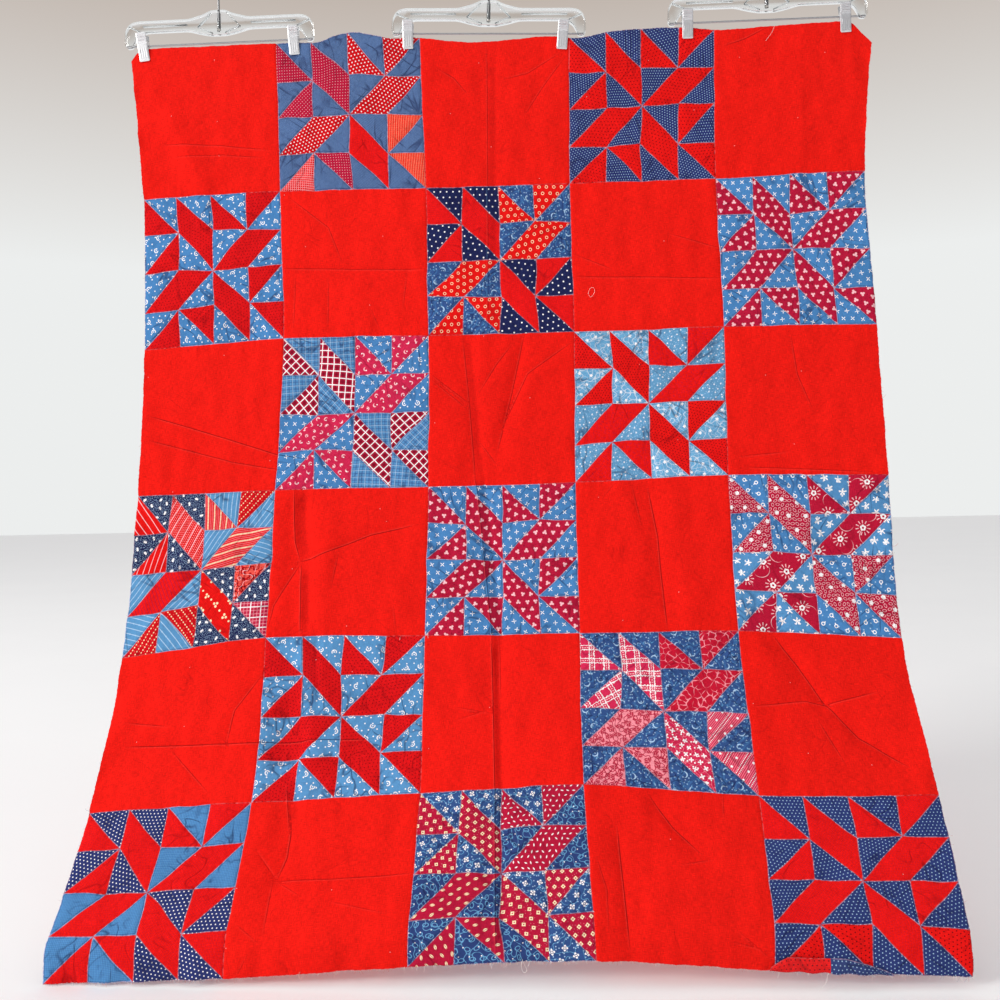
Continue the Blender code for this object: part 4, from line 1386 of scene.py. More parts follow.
def cloth_finish(print_of):
    """Printed cotton: print, uneven dye, painted shade in wrinkles, in creases and beside pressed folds, a painted
    highlight beside creases, painted seam shadows, worn seams, paler back, wrinkles, weave.
    """
    colours = bpy.context.scene.quilt_colours
    name = print_of.__name__
    blue = print_of in BLUE_PRINTS
    look = LOOKS["blue" if blue else "plain" if print_of is turkey_red else "red"]
    # The first colour is for painted shade, the second for the painted highlight beside creases, the third for the
    # paler back.
    painted_shade, edge, faded = ((colours.ink_navy, colours.sky, colours.pale_blue) if blue
                         else (colours.black, colours.coral, colours.pink))
    f = Finish("cloth_" + name)
    x, y = f.map("print")
    seam, back = f.map("seam")
    pick, shade = f.map("patch")
    line, sharp = f.map("crease")
    place = f.place()
    groove = (1.0 - line * line / 1.1).limited() * sharp
    # Painted highlight: a pale line on the ridge beside each crease.
    crease_highlight = (1.0 - (line + 1.9).size() / 1.3).limited() * sharp
    folds = reduce(Wire.most, [wrinkles(f, place, *direction, look.rarity) for direction in WRINKLES])

    colour = dyed(f, print_of(f, x, y, colours), place, x, y, pick, look)
    # Painted shade: the wrinkles and the band beside each pressed fold are darkened towards the shade colour.
    colour = f.mix((folds * look.wrinkle + shade * look.shade).limited(), colour, painted_shade)
    # Painted shade along the bottom of each crease.
    colour = f.mix(groove * look.crease, colour, painted_shade)
    # Painted highlight beside the crease.
    colour = f.mix(crease_highlight * 0.24, colour, edge)
    colour = worn_seams(f, colour, colours, place, seam, look)
    if not name.startswith("wine"):
        speck = f.scatter(x, y, 150, rows=130, wander=120, spin=0.0, seed=31.0)
        colour = f.mix(inside(f.reach(*speck) - 0.5 * MM) * 0.7, colour, colours.white)
    colour = f.mix(back * look.back, colour, f.mix(0.5, faded, colour))

    weave = (x * (TURN / WEAVE_PITCH)).sine() * (y * (TURN / WEAVE_PITCH)).sine()
    fine = f.noise(place, 300.0, 2.0)
    height = (weave * (0.03 * MM) + f.noise(place, 62.0, 4.0) * (look.crinkle * MM) + fine * (0.25 * MM)
              - folds * (look.depth * MM) - groove * (0.5 * MM))
    f.drive(Base_Color=colour, Roughness=0.84 + fine * 0.14, Normal=f.bump(height), Specular_IOR_Level=0.06)
    return f.material


def thread_finish(name, colour):
    colours = bpy.context.scene.quilt_colours
    f = Finish(name)
    place = f.place()
    shade = f.mix(f.noise(place, 90.0, 3.0), colour, colours.thread)
    f.drive(Base_Color=f.shaded(shade, 0.8 + f.noise(place, 500.0) * 0.4),
            Roughness=0.82 + f.noise(place, 900.0) * 0.12)
    f.drive(Normal=f.bump(f.noise(place, 2400.0, 2.0) * (0.12 * MM)), Sheen_Weight=0.2)
    return f.material


def plastic_finish():
    sizes = bpy.context.scene.hanger_sizes
    f = Finish("clear_plastic")
    place = f.place()
    haze = f.noise(place, 26.0, 4.0)
    scratch = f.noise(f.node("ShaderNodeMapping", {}, {"Vector": place, "Scale": (40.0, 900.0, 260.0)}), 1.0, 2.0)
    f.drive(Base_Color=f.mix(haze * 0.35, sizes.plastic, (0.80, 0.83, 0.84)),
            Roughness=0.03 + haze * 0.07 + scratch * 0.03)
    f.drive(Normal=f.bump(scratch * (0.02 * MM) + haze * (0.25 * MM)), Transmission_Weight=1.0, IOR=1.49)
    return f.material


def metal_finish(name, roughness, brushed, tone=1.0):
    sizes = bpy.context.scene.hanger_sizes
    f = Finish(name)
    place = f.place()
    grain = f.noise(f.node("ShaderNodeMapping", {}, {"Vector": place, "Scale": brushed}), 1.0, 3.0)
    spots = f.noise(place, 210.0, 3.0)
    base = tuple(part * tone for part in sizes.chrome)
    f.drive(Base_Color=f.mix((spots - 0.35).limited(), base, tuple(part * 0.72 for part in base)),
            Roughness=roughness + grain * 0.14 + spots * 0.08)
    f.drive(Normal=f.bump(grain * (0.03 * MM) + spots * (0.05 * MM)), Metallic=1.0)
    return f.material


def floor_finish():
    f = Finish("studio_floor")
    place = f.place()
    f.drive(Base_Color=f.mix(f.noise(place, 1.6, 4.0), *FLOOR_TONES),
            Roughness=0.72 + f.noise(place, 14.0, 3.0) * 0.12, Normal=f.bump(f.noise(place, 34.0, 4.0) * (0.4 * MM)))
    return f.material


def finish_named(name):
    found = bpy.data.materials.get("cloth_" + name)
    if found is None:
        found = cloth_finish({made.__name__: made for made in BLUE_PRINTS + RED_PRINTS}[name])
    return found


# ---- Blocks -------------------------------------------------------------------------------------------

def cloth_at(row, column, small_row, small_column, half):
    blues, reds, others = BLOCKS[(row, column)]
    for at_row, at_column, which, name in others:
        if (at_row, at_column, which) == (small_row, small_column, half):
            return name
    quarter = (small_row // 2) * 2 + small_column // 2
    return (reds if half == "red" else blues)[quarter]


def tucked(places, sizes, low_open, high_open):
    """Grid places run on a little under a neighbour, where there is one."""
    tuck = sizes.tuck / FLAT_BLOCK[0]
    return np.array([-tuck] * low_open + list(places) + [1 + tuck] * high_open)


def face_places(sizes):
    """Grid places across one block's face."""
    return np.linspace(0, 1, sizes.steps + 1)


def back_places(sizes, plain):
    """Grid places across one block's back, close together where the allowances end."""
    cells = 1 if plain else 4
    width = BLOCK_MM / cells
    near = np.array([0.0, 1.3, sizes.allowance / MM, sizes.allowance / MM + 1.2]) / width
    count = 40 if plain else 5
    middle = np.linspace(near[-1], 1 - near[-1], count + 1)[1:-1]
    cell = np.concatenate((near, middle, 1 - near[::-1]))
    return sorted({round((number + at) / cells, 6) for number in range(cells) for at in cell})


def grid_triangles(us, vs, plain):
    """Triangles of a grid, split along each small square's diagonal."""
    nu, nv = len(us), len(vs)
    column, row = np.meshgrid(np.arange(nu - 1), np.arange(nv - 1))
    column, row = column.ravel(), row.ravel()
    corner = row * nu + column
    tl, tr, bl, br = corner, corner + 1, corner + nu, corner + nu + 1
    if plain:
        falls = (column + row) % 2 == 0
    else:
        mid_u = np.clip((us[column] + us[column + 1]) / 2, 0, 0.9999)
        mid_v = np.clip((vs[row] + vs[row + 1]) / 2, 0, 0.9999)
        falls = FALLS[(mid_v * 4).astype(int), (mid_u * 4).astype(int)]
    first = np.where(falls[:, None], np.stack((tl, br, tr), 1), np.stack((tl, bl, tr), 1))
    second = np.where(falls[:, None], np.stack((tl, bl, br), 1), np.stack((tr, bl, br), 1))
    return np.concatenate((first, second))


def zipper(near, far, near_index, far_index):
    """Triangles between two rows of points along one edge."""
    faces = []
    a = b = 0
    while a < len(near) - 1 or b < len(far) - 1:
        go_near = b == len(far) - 1 or (a < len(near) - 1 and near[a + 1] <= far[b + 1])
        if go_near:
            faces.append((near_index[a], near_index[a + 1], far_index[b]))
            a += 1
        else:
            faces.append((near_index[a], far_index[b + 1], far_index[b]))
            b += 1
    return faces


def patch_maps(u, v, row, column, plain, draw):
    """Print, seam distance and cloth of every triangle corner, from its place in the block."""
    centre_u = np.clip(u.mean(1), 0.0001, 0.9999)
    centre_v = np.clip(v.mean(1), 0.0001, 0.9999)
    if plain:
        turn = {("plain",): (0.0, draw.uniform(0, 9), draw.uniform(0, 9), draw.random())}
        key = [("plain",)] * len(u)
        away = np.minimum(np.minimum(u, 1 - u), np.minimum(v, 1 - v)) * FLAT_BLOCK[0]
        cloths = ["turkey_red"]
        cloth_of = {("plain",): 0}
    else:
        small_u, small_v = (centre_u * 4).astype(int), (centre_v * 4).astype(int)
        x, y = u * 4 - small_u[:, None], v * 4 - small_v[:, None]
        cx, cy = centre_u * 4 - small_u, centre_v * 4 - small_v
        falls = FALLS[small_v, small_u]
        upper = np.where(falls, cx > cy, cx + cy < 1)
        red = upper == RED_UPPER[small_v, small_u]
        root = math.sqrt(2)
        left, right, top, bottom = x.copy(), 1 - x, y.copy(), 1 - y
        joined = {}
        for first, second, side in LONG_PIECES:
            joined[(*second, "red")] = (*first, "red")
            in_first = red & (small_v == first[0]) & (small_u == first[1])
            in_second = red & (small_v == second[0]) & (small_u == second[1])
            (right if side == "right" else bottom)[in_first] = 9
            (left if side == "right" else top)[in_second] = 9
        away = np.where(falls[:, None],
                        np.where(upper[:, None], np.minimum(np.minimum(top, right), (x - y) / root),
                                 np.minimum(np.minimum(left, bottom), (y - x) / root)),
                        np.where(upper[:, None], np.minimum(np.minimum(left, top), (1 - x - y) / root),
                                 np.minimum(np.minimum(right, bottom), (x + y - 1) / root))) * (SMALL_MM * MM)
        turn, cloths, cloth_of = {}, [], {}
        for small_row in range(4):
            for small_column in range(4):
                for half in ("red", "blue"):
                    at = (small_row, small_column, half)
                    name = cloth_at(row, column, *at)
                    if name not in cloths:
                        cloths.append(name)
                    cloth_of[at] = cloths.index(name)
                    angle = TURNS.get((row, column, *at), draw.choice((0, 0, 45, 90, -45)) + draw.uniform(-4, 4))
                    turn[at] = (math.radians(angle), draw.uniform(0, 3), draw.uniform(0, 3), draw.random())
                    turn[at] = turn.get(joined.get(at), turn[at])
        key = list(zip(small_v.tolist(), small_u.tolist(), ["red" if is_red else "blue" for is_red in red]))
    table_of = np.array([turn[at] for at in key])
    slots = np.array([cloth_of[at] for at in key])
    across, up = u * FLAT_BLOCK[0], -v * FLAT_BLOCK[0]
    c, s = np.cos(table_of[:, :1]), np.sin(table_of[:, :1])
    printed = np.stack((across * c + up * s + table_of[:, 1:2], up * c - across * s + table_of[:, 2:3]), -1)
    return printed, np.maximum(away, 0), table_of[:, 3], slots, cloths


def block_mesh(row, column, sizes):
    """One block of cloth: a fine face, a back with its pressed allowances, and the edge between them."""
    plain = (row + column) % 2 == 0
    name = "{}_r{}_c{}".format("plain" if plain else "pieced", row + 1, column + 1)
    draw = random.Random(100 * row + column)
    grit = np.random.default_rng(7 + 100 * row + column)
    open_sides = (column > 0, column < COLUMNS - 1), (row > 0, row < ROWS - 1)
    layers = []
    for face in (True, False):
        places = face_places(sizes) if face else back_places(sizes, plain)
        us, vs = (tucked(places, sizes, *sides) for sides in open_sides)
        u, v = (grid.ravel() for grid in np.meshgrid(us, vs))
        across, down = column + u, row + v
        place, outward, coarse, seams, depth = cloth_face(across, down, plain, sizes)
        beyond = np.maximum(np.maximum(-u, u - 1), np.maximum(-v, v - 1)) > 1e-9
        if face:
            height = sizes.thickness / 2 + coarse + seams - np.where(beyond, 1.0 * MM, 0.0)
        else:
            _, away = seam_height(across, down, plain, sizes)
            allowance = np.where(away <= sizes.allowance / MM + 0.4, sizes.allowance_height, 0)
            allowance = np.where(away < 0.9, 0.15 * MM, allowance) * (0.85 + 0.3 * grit.random(len(away)))
            height = -sizes.thickness / 2 + coarse - 0.5 * MM - allowance * clip_hold(across, down)
        raw = np.zeros((len(u), 2))
        for axis, (at, (low_open, high_open)) in enumerate(((u, open_sides[0]), (v, open_sides[1]))):
            for value, is_open, sign in ((0.0, low_open, -1), (1.0, high_open, 1)):
                if not is_open:
                    on_edge = np.abs(at - value) < 1e-9
                    nick = (0.35 * np.sin(37 * (across + down)) + 0.3 * np.sin(91 * (across - down) + 1)
                            + 0.35 * np.sin(211 * (across + down)))
                    raw[:, axis] += np.where(on_edge, sign * nick * 0.7 * MM, 0)
        place = place + outward * height[:, None]
        place[:, 0] += raw[:, 0]
        place[:, 2] -= raw[:, 1]
        layers.append((us, vs, u, v, place, depth, grid_triangles(us, vs, plain)))
    us, vs, u, v, points, depth, faces = layers[0]
    back_us, back_vs, back_u, back_v, back_points, back_depth, back_faces = layers[1]
    count, nu, nv, bu, bv = len(points), len(us), len(vs), len(back_us), len(back_vs)
    rim = []
    for front_row, back_row in ((0, 0), (nv - 1, bv - 1)):
        rim += zipper(us, back_us, front_row * nu + np.arange(nu), count + back_row * bu + np.arange(bu))
    for front_column, back_column in ((0, 0), (nu - 1, bu - 1)):
        rim += zipper(vs, back_vs, front_column + np.arange(nv) * nu, count + back_column + np.arange(bv) * bu)
    rim = np.array(rim)
    triangles = np.concatenate((faces, back_faces[:, ::-1] + count, rim))
    all_u, all_v = np.concatenate((u, back_u)), np.concatenate((v, back_v))
    marks = np.concatenate((depth, back_depth * np.array((0.4, 1.0, 0.4))))[triangles]
    printed, away, pick, slots, cloths = patch_maps(all_u[triangles], all_v[triangles], row, column, plain, draw)
    back = np.zeros(len(triangles))
    back[len(faces):len(faces) + len(back_faces)] = 1.0
    maps = {
        "print": printed,
        "seam": np.stack((away, np.repeat(back[:, None], 3, 1)), -1),
        "patch": np.stack((np.repeat(pick[:, None], 3, 1), marks[..., 0]), -1),
        "crease": marks[..., 1:],
    }
    mesh = mesh_from(name + "_cloth", np.concatenate((points, back_points)), triangles, slots, maps)
    face_outwards(mesh)
    smooth(mesh, CLOTH_ANGLE)
    made = add_object(name + "_cloth", mesh, *(finish_named(cloth) for cloth in cloths))
    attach(made, "root")
    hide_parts(name)


def lay_blocks(sizes, remainder):
    """Lays every other block: remainder is that of row plus column by two."""
    for row in range(ROWS):
        for column in range(COLUMNS):
            if (row + column) % 2 == remainder:
                block_mesh(row, column, sizes)


class QUILT_OT_plain_blocks(bpy.types.Operator):
    """Lays the fifteen plain red blocks"""

    bl_idname = "quilt.plain_blocks"
    bl_label = "Plain blocks"

    def execute(self, context):
        lay_blocks(context.scene.quilt_sizes, 0)
        return {"FINISHED"}


class QUILT_OT_pieced_blocks(bpy.types.Operator):
    """Lays the fifteen star blocks, each pieced from thirty-two triangles"""

    bl_idname = "quilt.pieced_blocks"
    bl_label = "Pieced blocks"

    def execute(self, context):
        lay_blocks(context.scene.quilt_sizes, 1)
        return {"FINISHED"}


def surface_point(across, down, out=0.0):
    sizes = bpy.context.scene.quilt_sizes
    across, down = np.atleast_1d(np.asarray(across, float)), np.atleast_1d(np.asarray(down, float))
    place, outward, coarse, _, _ = cloth_face(across, down, True, sizes)
    return place + outward * (coarse + sizes.thickness / 2 + out)[:, None], outward


class QUILT_OT_raw_edges(bpy.types.Operator):
    """Adds the frayed threads of the raw edges, the loose threads and the strip of hem that is turned out"""

    bl_idname = "quilt.raw_edges"
    bl_label = "Raw edges"

    def execute(self, context):
        sizes = context.scene.quilt_sizes
        colours = context.scene.quilt_colours
        draw = random.Random(5)
        shapes = {"red": [], "blue": [], "pale": []}
        runs = (("hem", 560, 1.0), ("left", 210, 0.7), ("right", 260, 0.8), ("top", 240, 0.6))
        for edge, count, share in runs:
            for _ in range(count):
                at = draw.random()
                if edge == "hem":
                    across, down = at * COLUMNS, ROWS - 0.002
                    away = Vector((draw.gauss(0, 0.5), draw.gauss(0, 0.3), -1))
                elif edge == "top":
                    across, down = at * COLUMNS, 0.002
                    away = Vector((draw.gauss(0, 0.7), draw.gauss(0, 0.5), 1))
                else:
                    side = -1 if edge == "left" else 1
                    across, down = (0.001 if edge == "left" else COLUMNS - 0.001), at * ROWS
                    away = Vector((side, draw.gauss(0, 0.3), draw.gauss(-0.2, 0.6)))
                place, _ = surface_point(across, down, -0.3 * MM)
                long = sizes.fray * share * draw.uniform(0.25, 1.0) ** 1.5
                start = Vector(place[0]) - away.normalized() * 0.8 * MM
                bend = Vector((draw.gauss(0, 0.35), draw.gauss(0, 0.3), draw.gauss(-0.2, 0.3)))
                path = [start + away.normalized() * long * t + bend * long * t * t for t in (0, 0.4, 0.75, 1.0)]
                pieced = (int(min(across, 4.999)) + int(min(down, 5.999))) % 2
                kind = draw.choice(("blue", "red", "pale", "pale") if pieced else ("red", "red", "pale"))
                shapes[kind].append(tube(path, 0.16 * MM, 3))
        for across, down, kind, steps in LOOSE_THREADS:
            place, _ = surface_point(across, down, 0.7 * MM)
            path = [Vector(place[0])]
            for right, forward, up in steps:
                path.append(path[-1] + Vector((right, -forward, up)) * MM)
            shapes[kind].append(tube(smooth_path(path, 5), 0.24 * MM, 5))
        finishes = {
            "red": thread_finish("red_thread", colours.crimson),
            "blue": thread_finish("blue_thread", colours.blue),
            "pale": thread_finish("pale_thread", colours.white),
        }
        for kind, found in shapes.items():
            points, faces = gather(found)
            mesh = mesh_from(kind + "_threads", points, faces)
            smooth(mesh, 80)
            made = add_object(kind + "_threads", mesh, finishes[kind])
            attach(made, "root")
            "red_cloth" if kind == "red" else "pieced_cloth"
        turned_strip()
        return {"FINISHED"}


def turned_strip():
    """The strip of hem at the lower right that is folded out over the face."""
    start, end, cut, columns, rows = 3.97, 4.60, 4.27, 70, 6
    u = np.linspace(start, end, columns + 1)
    share = (u - start) / (end - start)
    tall = 19 * MM * np.clip(share * 7, 0, 1) ** 0.7 * np.clip((1 - share) * 2.6, 0, 1) ** 0.8 + 0.8 * MM
    layers = []
    for lift in (1.9 * MM, 1.2 * MM):
        grid = []
        for number in range(rows + 1):
            t = number / rows
            bulge = math.sin(math.pi * t) * 2.6 * MM + (1 - t) * 1.0 * MM
            down = ROWS - 0.004 - (1 - t) * tall / BLOCK_HEIGHT
            wrinkle = 0.7 * MM * np.sin(u * 61 + 3 * t) * t + 0.5 * MM * np.sin(u * 143) * (1 - t)
            place, outward = surface_point(u, down, 0.0)
            place = place + outward * (lift + bulge + wrinkle)[:, None]
            place[:, 2] -= t * (1.5 * MM + 1.0 * MM * np.sin(u * 47))
            grid.append(place)
        layers.append(np.concatenate(grid))
    points = np.concatenate(layers)
    width, half = columns + 1, (columns + 1) * (rows + 1)
    faces, slots = [], []
    for row in range(rows):
        for column in range(columns):
            a = row * width + column
            quad = ((a, a + width, a + width + 1), (a, a + width + 1, a + 1))
            for face in quad:
                faces += [face, tuple(index + half for index in face[::-1])]
                slots += [0 if u[column] < cut else 1] * 2
    loop = rim_loop(columns, rows)
    for a, b in zip(loop, loop[1:] + loop[:1]):
        faces += [(a, b, b + half), (a, b + half, a + half)]
        slots += [0 if u[a % width] < cut else 1] * 2
    faces = np.array(faces)
    grid_u = np.tile(np.tile(u, rows + 1), 2)
    grid_v = np.tile(np.repeat(np.linspace(0, 1, rows + 1), width), 2)
    printed = np.stack((grid_u * FLAT_BLOCK[0], -grid_v * 19 * MM), -1)
    tall_at = np.tile(np.tile(tall, rows + 1), 2)
    away = np.minimum(grid_v, 1 - grid_v) * tall_at
    maps = {
        "print": printed[faces],
        "seam": np.stack((away[faces], np.full(faces.shape, 0.10)), -1),
        "patch": np.full(faces.shape + (2,), 0.0),
        "crease": np.full(faces.shape + (2,), 0.0),
    }
    mesh = mesh_from("turned_hem", points, faces, slots, maps)
    face_outwards(mesh)
    smooth(mesh, CLOTH_ANGLE)
    made = add_object("turned_hem", mesh, finish_named("red_pepper"), finish_named("navy_micro"))
    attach(made, "root")


# ---- Hangers ------------------------------------------------------------------------------------------

def hanger_place(seat, tilt):
    return Matrix.Translation((seat * MM, 0, 0)) @ Matrix.Rotation(math.radians(-tilt), 4, "Y")


def rounded(points, share, steps):
    """A closed outline with its corners rounded."""
    found = []
    count = len(points)
    for number in range(count):
        before, here, after = (Vector(points[(number + shift) % count]) for shift in (-1, 0, 1))
        cut = min(7.0, share * min((before - here).length, (after - here).length))
        start = here + (before - here).normalized() * cut
        end = here + (after - here).normalized() * cut
        for step in range(steps + 1):
            t = step / steps
            found.append(start * (1 - t) ** 2 + here * 2 * t * (1 - t) + end * t * t)
    return found


def place_piece(made, place, node):
    made.data.transform(place)
    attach(made, "root")
    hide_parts(node)


class QUILT_OT_hanger_frames(bpy.types.Operator):
    """Makes the clear frames: recessed bar, raised hub, rounded arms"""

    bl_idname = "quilt.hanger_frames"
    bl_label = "Hanger frames"

    def execute(self, context):
        sizes = context.scene.hanger_sizes
        finish = plastic_finish()
        for side, seat, drop, tilt, _, _ in HANGERS:
            right = list(FRAME_HALF)
            outline = right + [(-x, z) for x, z in reversed(right) if x > 0]
            outline = [(point.x, point.y) for point in rounded(outline, 0.42, 4)]
            bm = bmesh.new()
            face = bm.faces.new([bm.verts.new((x * MM, -sizes.frame_depth / 2, (z - drop) * MM)) for x, z in outline])
            grown = bmesh.ops.extrude_face_region(bm, geom=[face])
            moved = [item for item in grown["geom"] if isinstance(item, bmesh.types.BMVert)]
            bmesh.ops.translate(bm, vec=(0, sizes.frame_depth, 0), verts=moved)
            bmesh.ops.recalc_face_normals(bm, faces=bm.faces)
            broad = [item for item in bm.faces if abs(item.normal.y) > 0.9]
            bmesh.ops.inset_region(bm, faces=broad, thickness=sizes.frame_rim, depth=-sizes.frame_recess,
                                   use_even_offset=True)
            for x0, z0, x1, z1 in FRAME_RIBS:
                for sign in (-1, 1):
                    run = Vector((sign * (x1 - x0), 0, z1 - z0)) * MM
                    middle = Vector((sign * (x0 + x1) / 2, 0, (z0 + z1) / 2 - drop)) * MM
                    box = (Matrix.Translation(middle) @ run.to_track_quat("X", "Y").to_matrix().to_4x4()
                           @ Matrix.Diagonal((run.length, 1.5 * MM, sizes.frame_depth * 0.86, 1.0)))
                    bmesh.ops.create_cube(bm, size=1.0, matrix=box)
            bmesh.ops.create_cone(bm, cap_ends=True, segments=20, radius1=3.5 * MM, radius2=3.5 * MM, depth=34 * MM,
                                  matrix=Matrix.Translation((0, 0, (38 - drop) * MM)))
            name = "hanger_frame_" + side
            mesh = applied(name + "_clear", from_bmesh(name, bm),
                           ("BEVEL", {"width": 0.55 * MM, "segments": 2, "limit_method": "ANGLE", "angle_limit": 0.7}))
            smooth(mesh, 34)
            made = add_object(name + "_clear", mesh, finish)
            place_piece(made, hanger_place(seat, tilt), name)
        return {"FINISHED"}


class QUILT_OT_hooks_and_rods(bpy.types.Operator):
    """Bends the wire hooks and makes the rods between the arms"""

    bl_idname = "quilt.hooks_and_rods"
    bl_label = "Hooks and rods"

    def execute(self, context):
        sizes = context.scene.hanger_sizes
        hook_finish = metal_finish("hook_wire", 0.24, (60.0, 60.0, 900.0), 0.46)
        rod_finish = metal_finish("rod_metal", 0.2, (1200.0, 60.0, 60.0), 0.66)
        for side, seat, drop, tilt, _, _ in HANGERS:
            place = hanger_place(seat, tilt)
            reach = sizes.loop_radius + sizes.wire_radius
            path = [(0, (height - drop) * MM) for height in HOOK_FOOT] + list(HOOK_STEM)
            for step in range(27):
                angle = math.radians(-112 - 9.5 * step)
                path.append((reach * math.cos(angle), reach * math.sin(angle) - sizes.loop_radius))
            line = smooth_path([Vector((0, y, z)) for y, z in path], 3)
            radii = np.full(len(line), sizes.wire_radius)
            radii[-3:] = sizes.wire_radius * np.array((0.97, 0.85, 0.45))
            points, faces = tube(line, radii, 18)
            name = "hanger_hook_" + side
            mesh = mesh_from(name + "_wire", points, faces)
            smooth(mesh, 50)
            place_piece(add_object(name + "_wire", mesh, hook_finish), place, name)
            half = sizes.rod_length / 2
            middle = list(np.linspace(-half + 6 * MM, half - 6 * MM, 30))
            ends = [-half, -half + ROD_CHAMFER] + middle + [half - ROD_CHAMFER, half]
            radii = np.full(len(ends), sizes.rod_radius)
            radii[0] = radii[-1] = sizes.rod_radius - ROD_CHAMFER
            points, faces = tube([(x, 0, -drop * MM) for x in ends], radii, 28)
            name = "hanger_rod_" + side
            mesh = mesh_from(name + "_bar", points, faces)
            smooth(mesh, 40)
            place_piece(add_object(name + "_bar", mesh, rod_finish), place, name)
        return {"FINISHED"}


def jaw_plate(front, sizes):
    """One jaw: a thumb plate with raised lines, a pivot line, upright ribs and a flared tip."""
    across_steps, along_steps = 26, 104
    heights = np.linspace(22.9, -28.9, along_steps + 1)
    line_z = np.array([z for _, z in JAW_LINE])[::-1]
    line_y = np.array([y for y, _ in JAW_LINE])[::-1]
    middle = hermite(line_z, line_y, heights)
    half_width = sizes.clip_width / MM / 2
    x = np.linspace(-half_width, half_width, across_steps + 1)
    grid_x, grid_z = np.meshgrid(x, heights)
    grid_y = np.repeat(middle[:, None], across_steps + 1, 1)
    thumb = 1 / (1 + np.exp(-(grid_z - 6.8) * 3)) * (1 / (1 + np.exp((grid_z - 21.2) * 3)))
    inner = 1 / (1 + np.exp((np.abs(grid_x) - half_width + 1.6) * 5))
    lines = np.clip(np.cos(grid_z * TURN / 2.75) * 2.2, -1, 1)
    lower = 1 / (1 + np.exp((grid_z + 5.5) * 2)) * (1 / (1 + np.exp(-(grid_z + 22.5) * 2)))
    ribs = sum(np.exp(-((grid_x - at) / 0.95) ** 2) for at in (-6.0, -2.0, 2.0, 6.0))
    groove = np.exp(-((grid_z - 4.2) / 0.9) ** 2)
    rolled = np.exp(-((np.abs(grid_x) - half_width) / 0.8) ** 2)
    relief = 0.50 * lines * thumb * inner + 0.18 * ribs * lower - 0.55 * groove * inner - 0.55 * rolled
    corner = np.clip(np.abs(grid_x) - half_width + 2.0, 0, None)
    grid_z = grid_z - np.where(grid_z > 20, corner ** 2 * 0.35, 0) + np.where(grid_z < -26, corner ** 2 * 0.35, 0)
    thick = sizes.sheet / MM
    outside = np.stack((grid_x, -(grid_y + relief), grid_z), -1).reshape(-1, 3)
    inside_layer = np.stack((grid_x, -(grid_y - thick + 0.35 * relief), grid_z), -1).reshape(-1, 3)
    points = np.concatenate((outside, inside_layer)) * MM
    width, half = across_steps + 1, (across_steps + 1) * (along_steps + 1)
    a = (np.arange(along_steps)[:, None] * width + np.arange(across_steps)[None, :]).ravel()
    top = np.concatenate((np.stack((a, a + width, a + width + 1), 1), np.stack((a, a + width + 1, a + 1), 1)))
    loop = rim_loop(across_steps, along_steps)
    rim = []
    for first, second in zip(loop, loop[1:] + loop[:1]):
        rim += [(first, first + half, second + half), (first, second + half, second)]
    faces = np.concatenate((top, top[:, ::-1] + half, np.array(rim)))
    if not front:
        points = points * np.array((1.0, -1.0, 1.0))
        faces = faces[:, ::-1]
    return points, faces


def cheek(x):
    """A side cheek that joins a jaw to the pivot."""
    outline = rounded([(-5.2, 9.0), (5.2, 9.0), (4.2, -5.0), (0.0, -8.0), (-4.2, -5.0)], 0.3, 3)
    inner = [Vector((x - math.copysign(0.9, x), 0, 0)) + Vector((0, point.x, point.y)) for point in outline]
    outer = [Vector((x, point.x, point.y)) for point in outline]
    points = np.array([tuple(point * MM) for point in outer + inner])
    count = len(outline)
    faces = []
    for number in range(1, count - 1):
        faces += [(0, number, number + 1), (count, count + number + 1, count + number)]
    for number in range(count):
        after = (number + 1) % count
        faces += [(number, count + number, count + after), (number, count + after, after)]
    return points, np.array(faces)


def clip_mesh(name, sizes):
    coil = []
    for step in range(121):
        t = step / 120
        angle = TURN * 7 * t
        coil.append(Vector(((-6.2 + 12.4 * t) * MM, 3.1 * MM * math.cos(angle), 3.1 * MM * math.sin(angle))))
    legs = [[coil[0], Vector((-6.4, -4.2, -6.0)) * MM, Vector((-6.4, -3.1, -14.0)) * MM],
            [coil[-1], Vector((6.4, 4.2, -6.0)) * MM, Vector((6.4, 3.1, -14.0)) * MM]]
    shapes = [jaw_plate(True, sizes), jaw_plate(False, sizes), cheek(-9.0), cheek(9.0), tube(coil, SPRING_WIRE, 8)]
    shapes += [tube(smooth_path(leg, 5), SPRING_WIRE, 8) for leg in legs]
    points, faces = gather(shapes)
    mesh = mesh_from(name, points, faces)
    face_outwards(mesh)
    smooth(mesh, 48)
    return mesh


class QUILT_OT_clips(bpy.types.Operator):
    """Presses the six sprung clips that hold the top edge"""

    bl_idname = "quilt.clips"
    bl_label = "Clips"

    def execute(self, context):
        sizes = context.scene.hanger_sizes
        finish = metal_finish("clip_plate", 0.40, (300.0, 300.0, 80.0), 1.10)
        for side, seat, drop, tilt, places, tilts in HANGERS:
            place = hanger_place(seat, tilt)
            for number, (across, clip_tilt) in enumerate(zip(places, tilts), 1):
                along = (across - seat) * MM / math.cos(math.radians(tilt))
                on_rod = place @ Matrix.Translation((along, 0, -drop * MM))
                name = "clip_{}_{}".format(side, number)
                made = add_object(name + "_plated", clip_mesh(name + "_plated", sizes), finish)
                place_piece(made, on_rod @ Matrix.Rotation(math.radians(-clip_tilt), 4, "Y"), name)
        return {"FINISHED"}


# ---- Stage --------------------------------------------------------------------------------------------

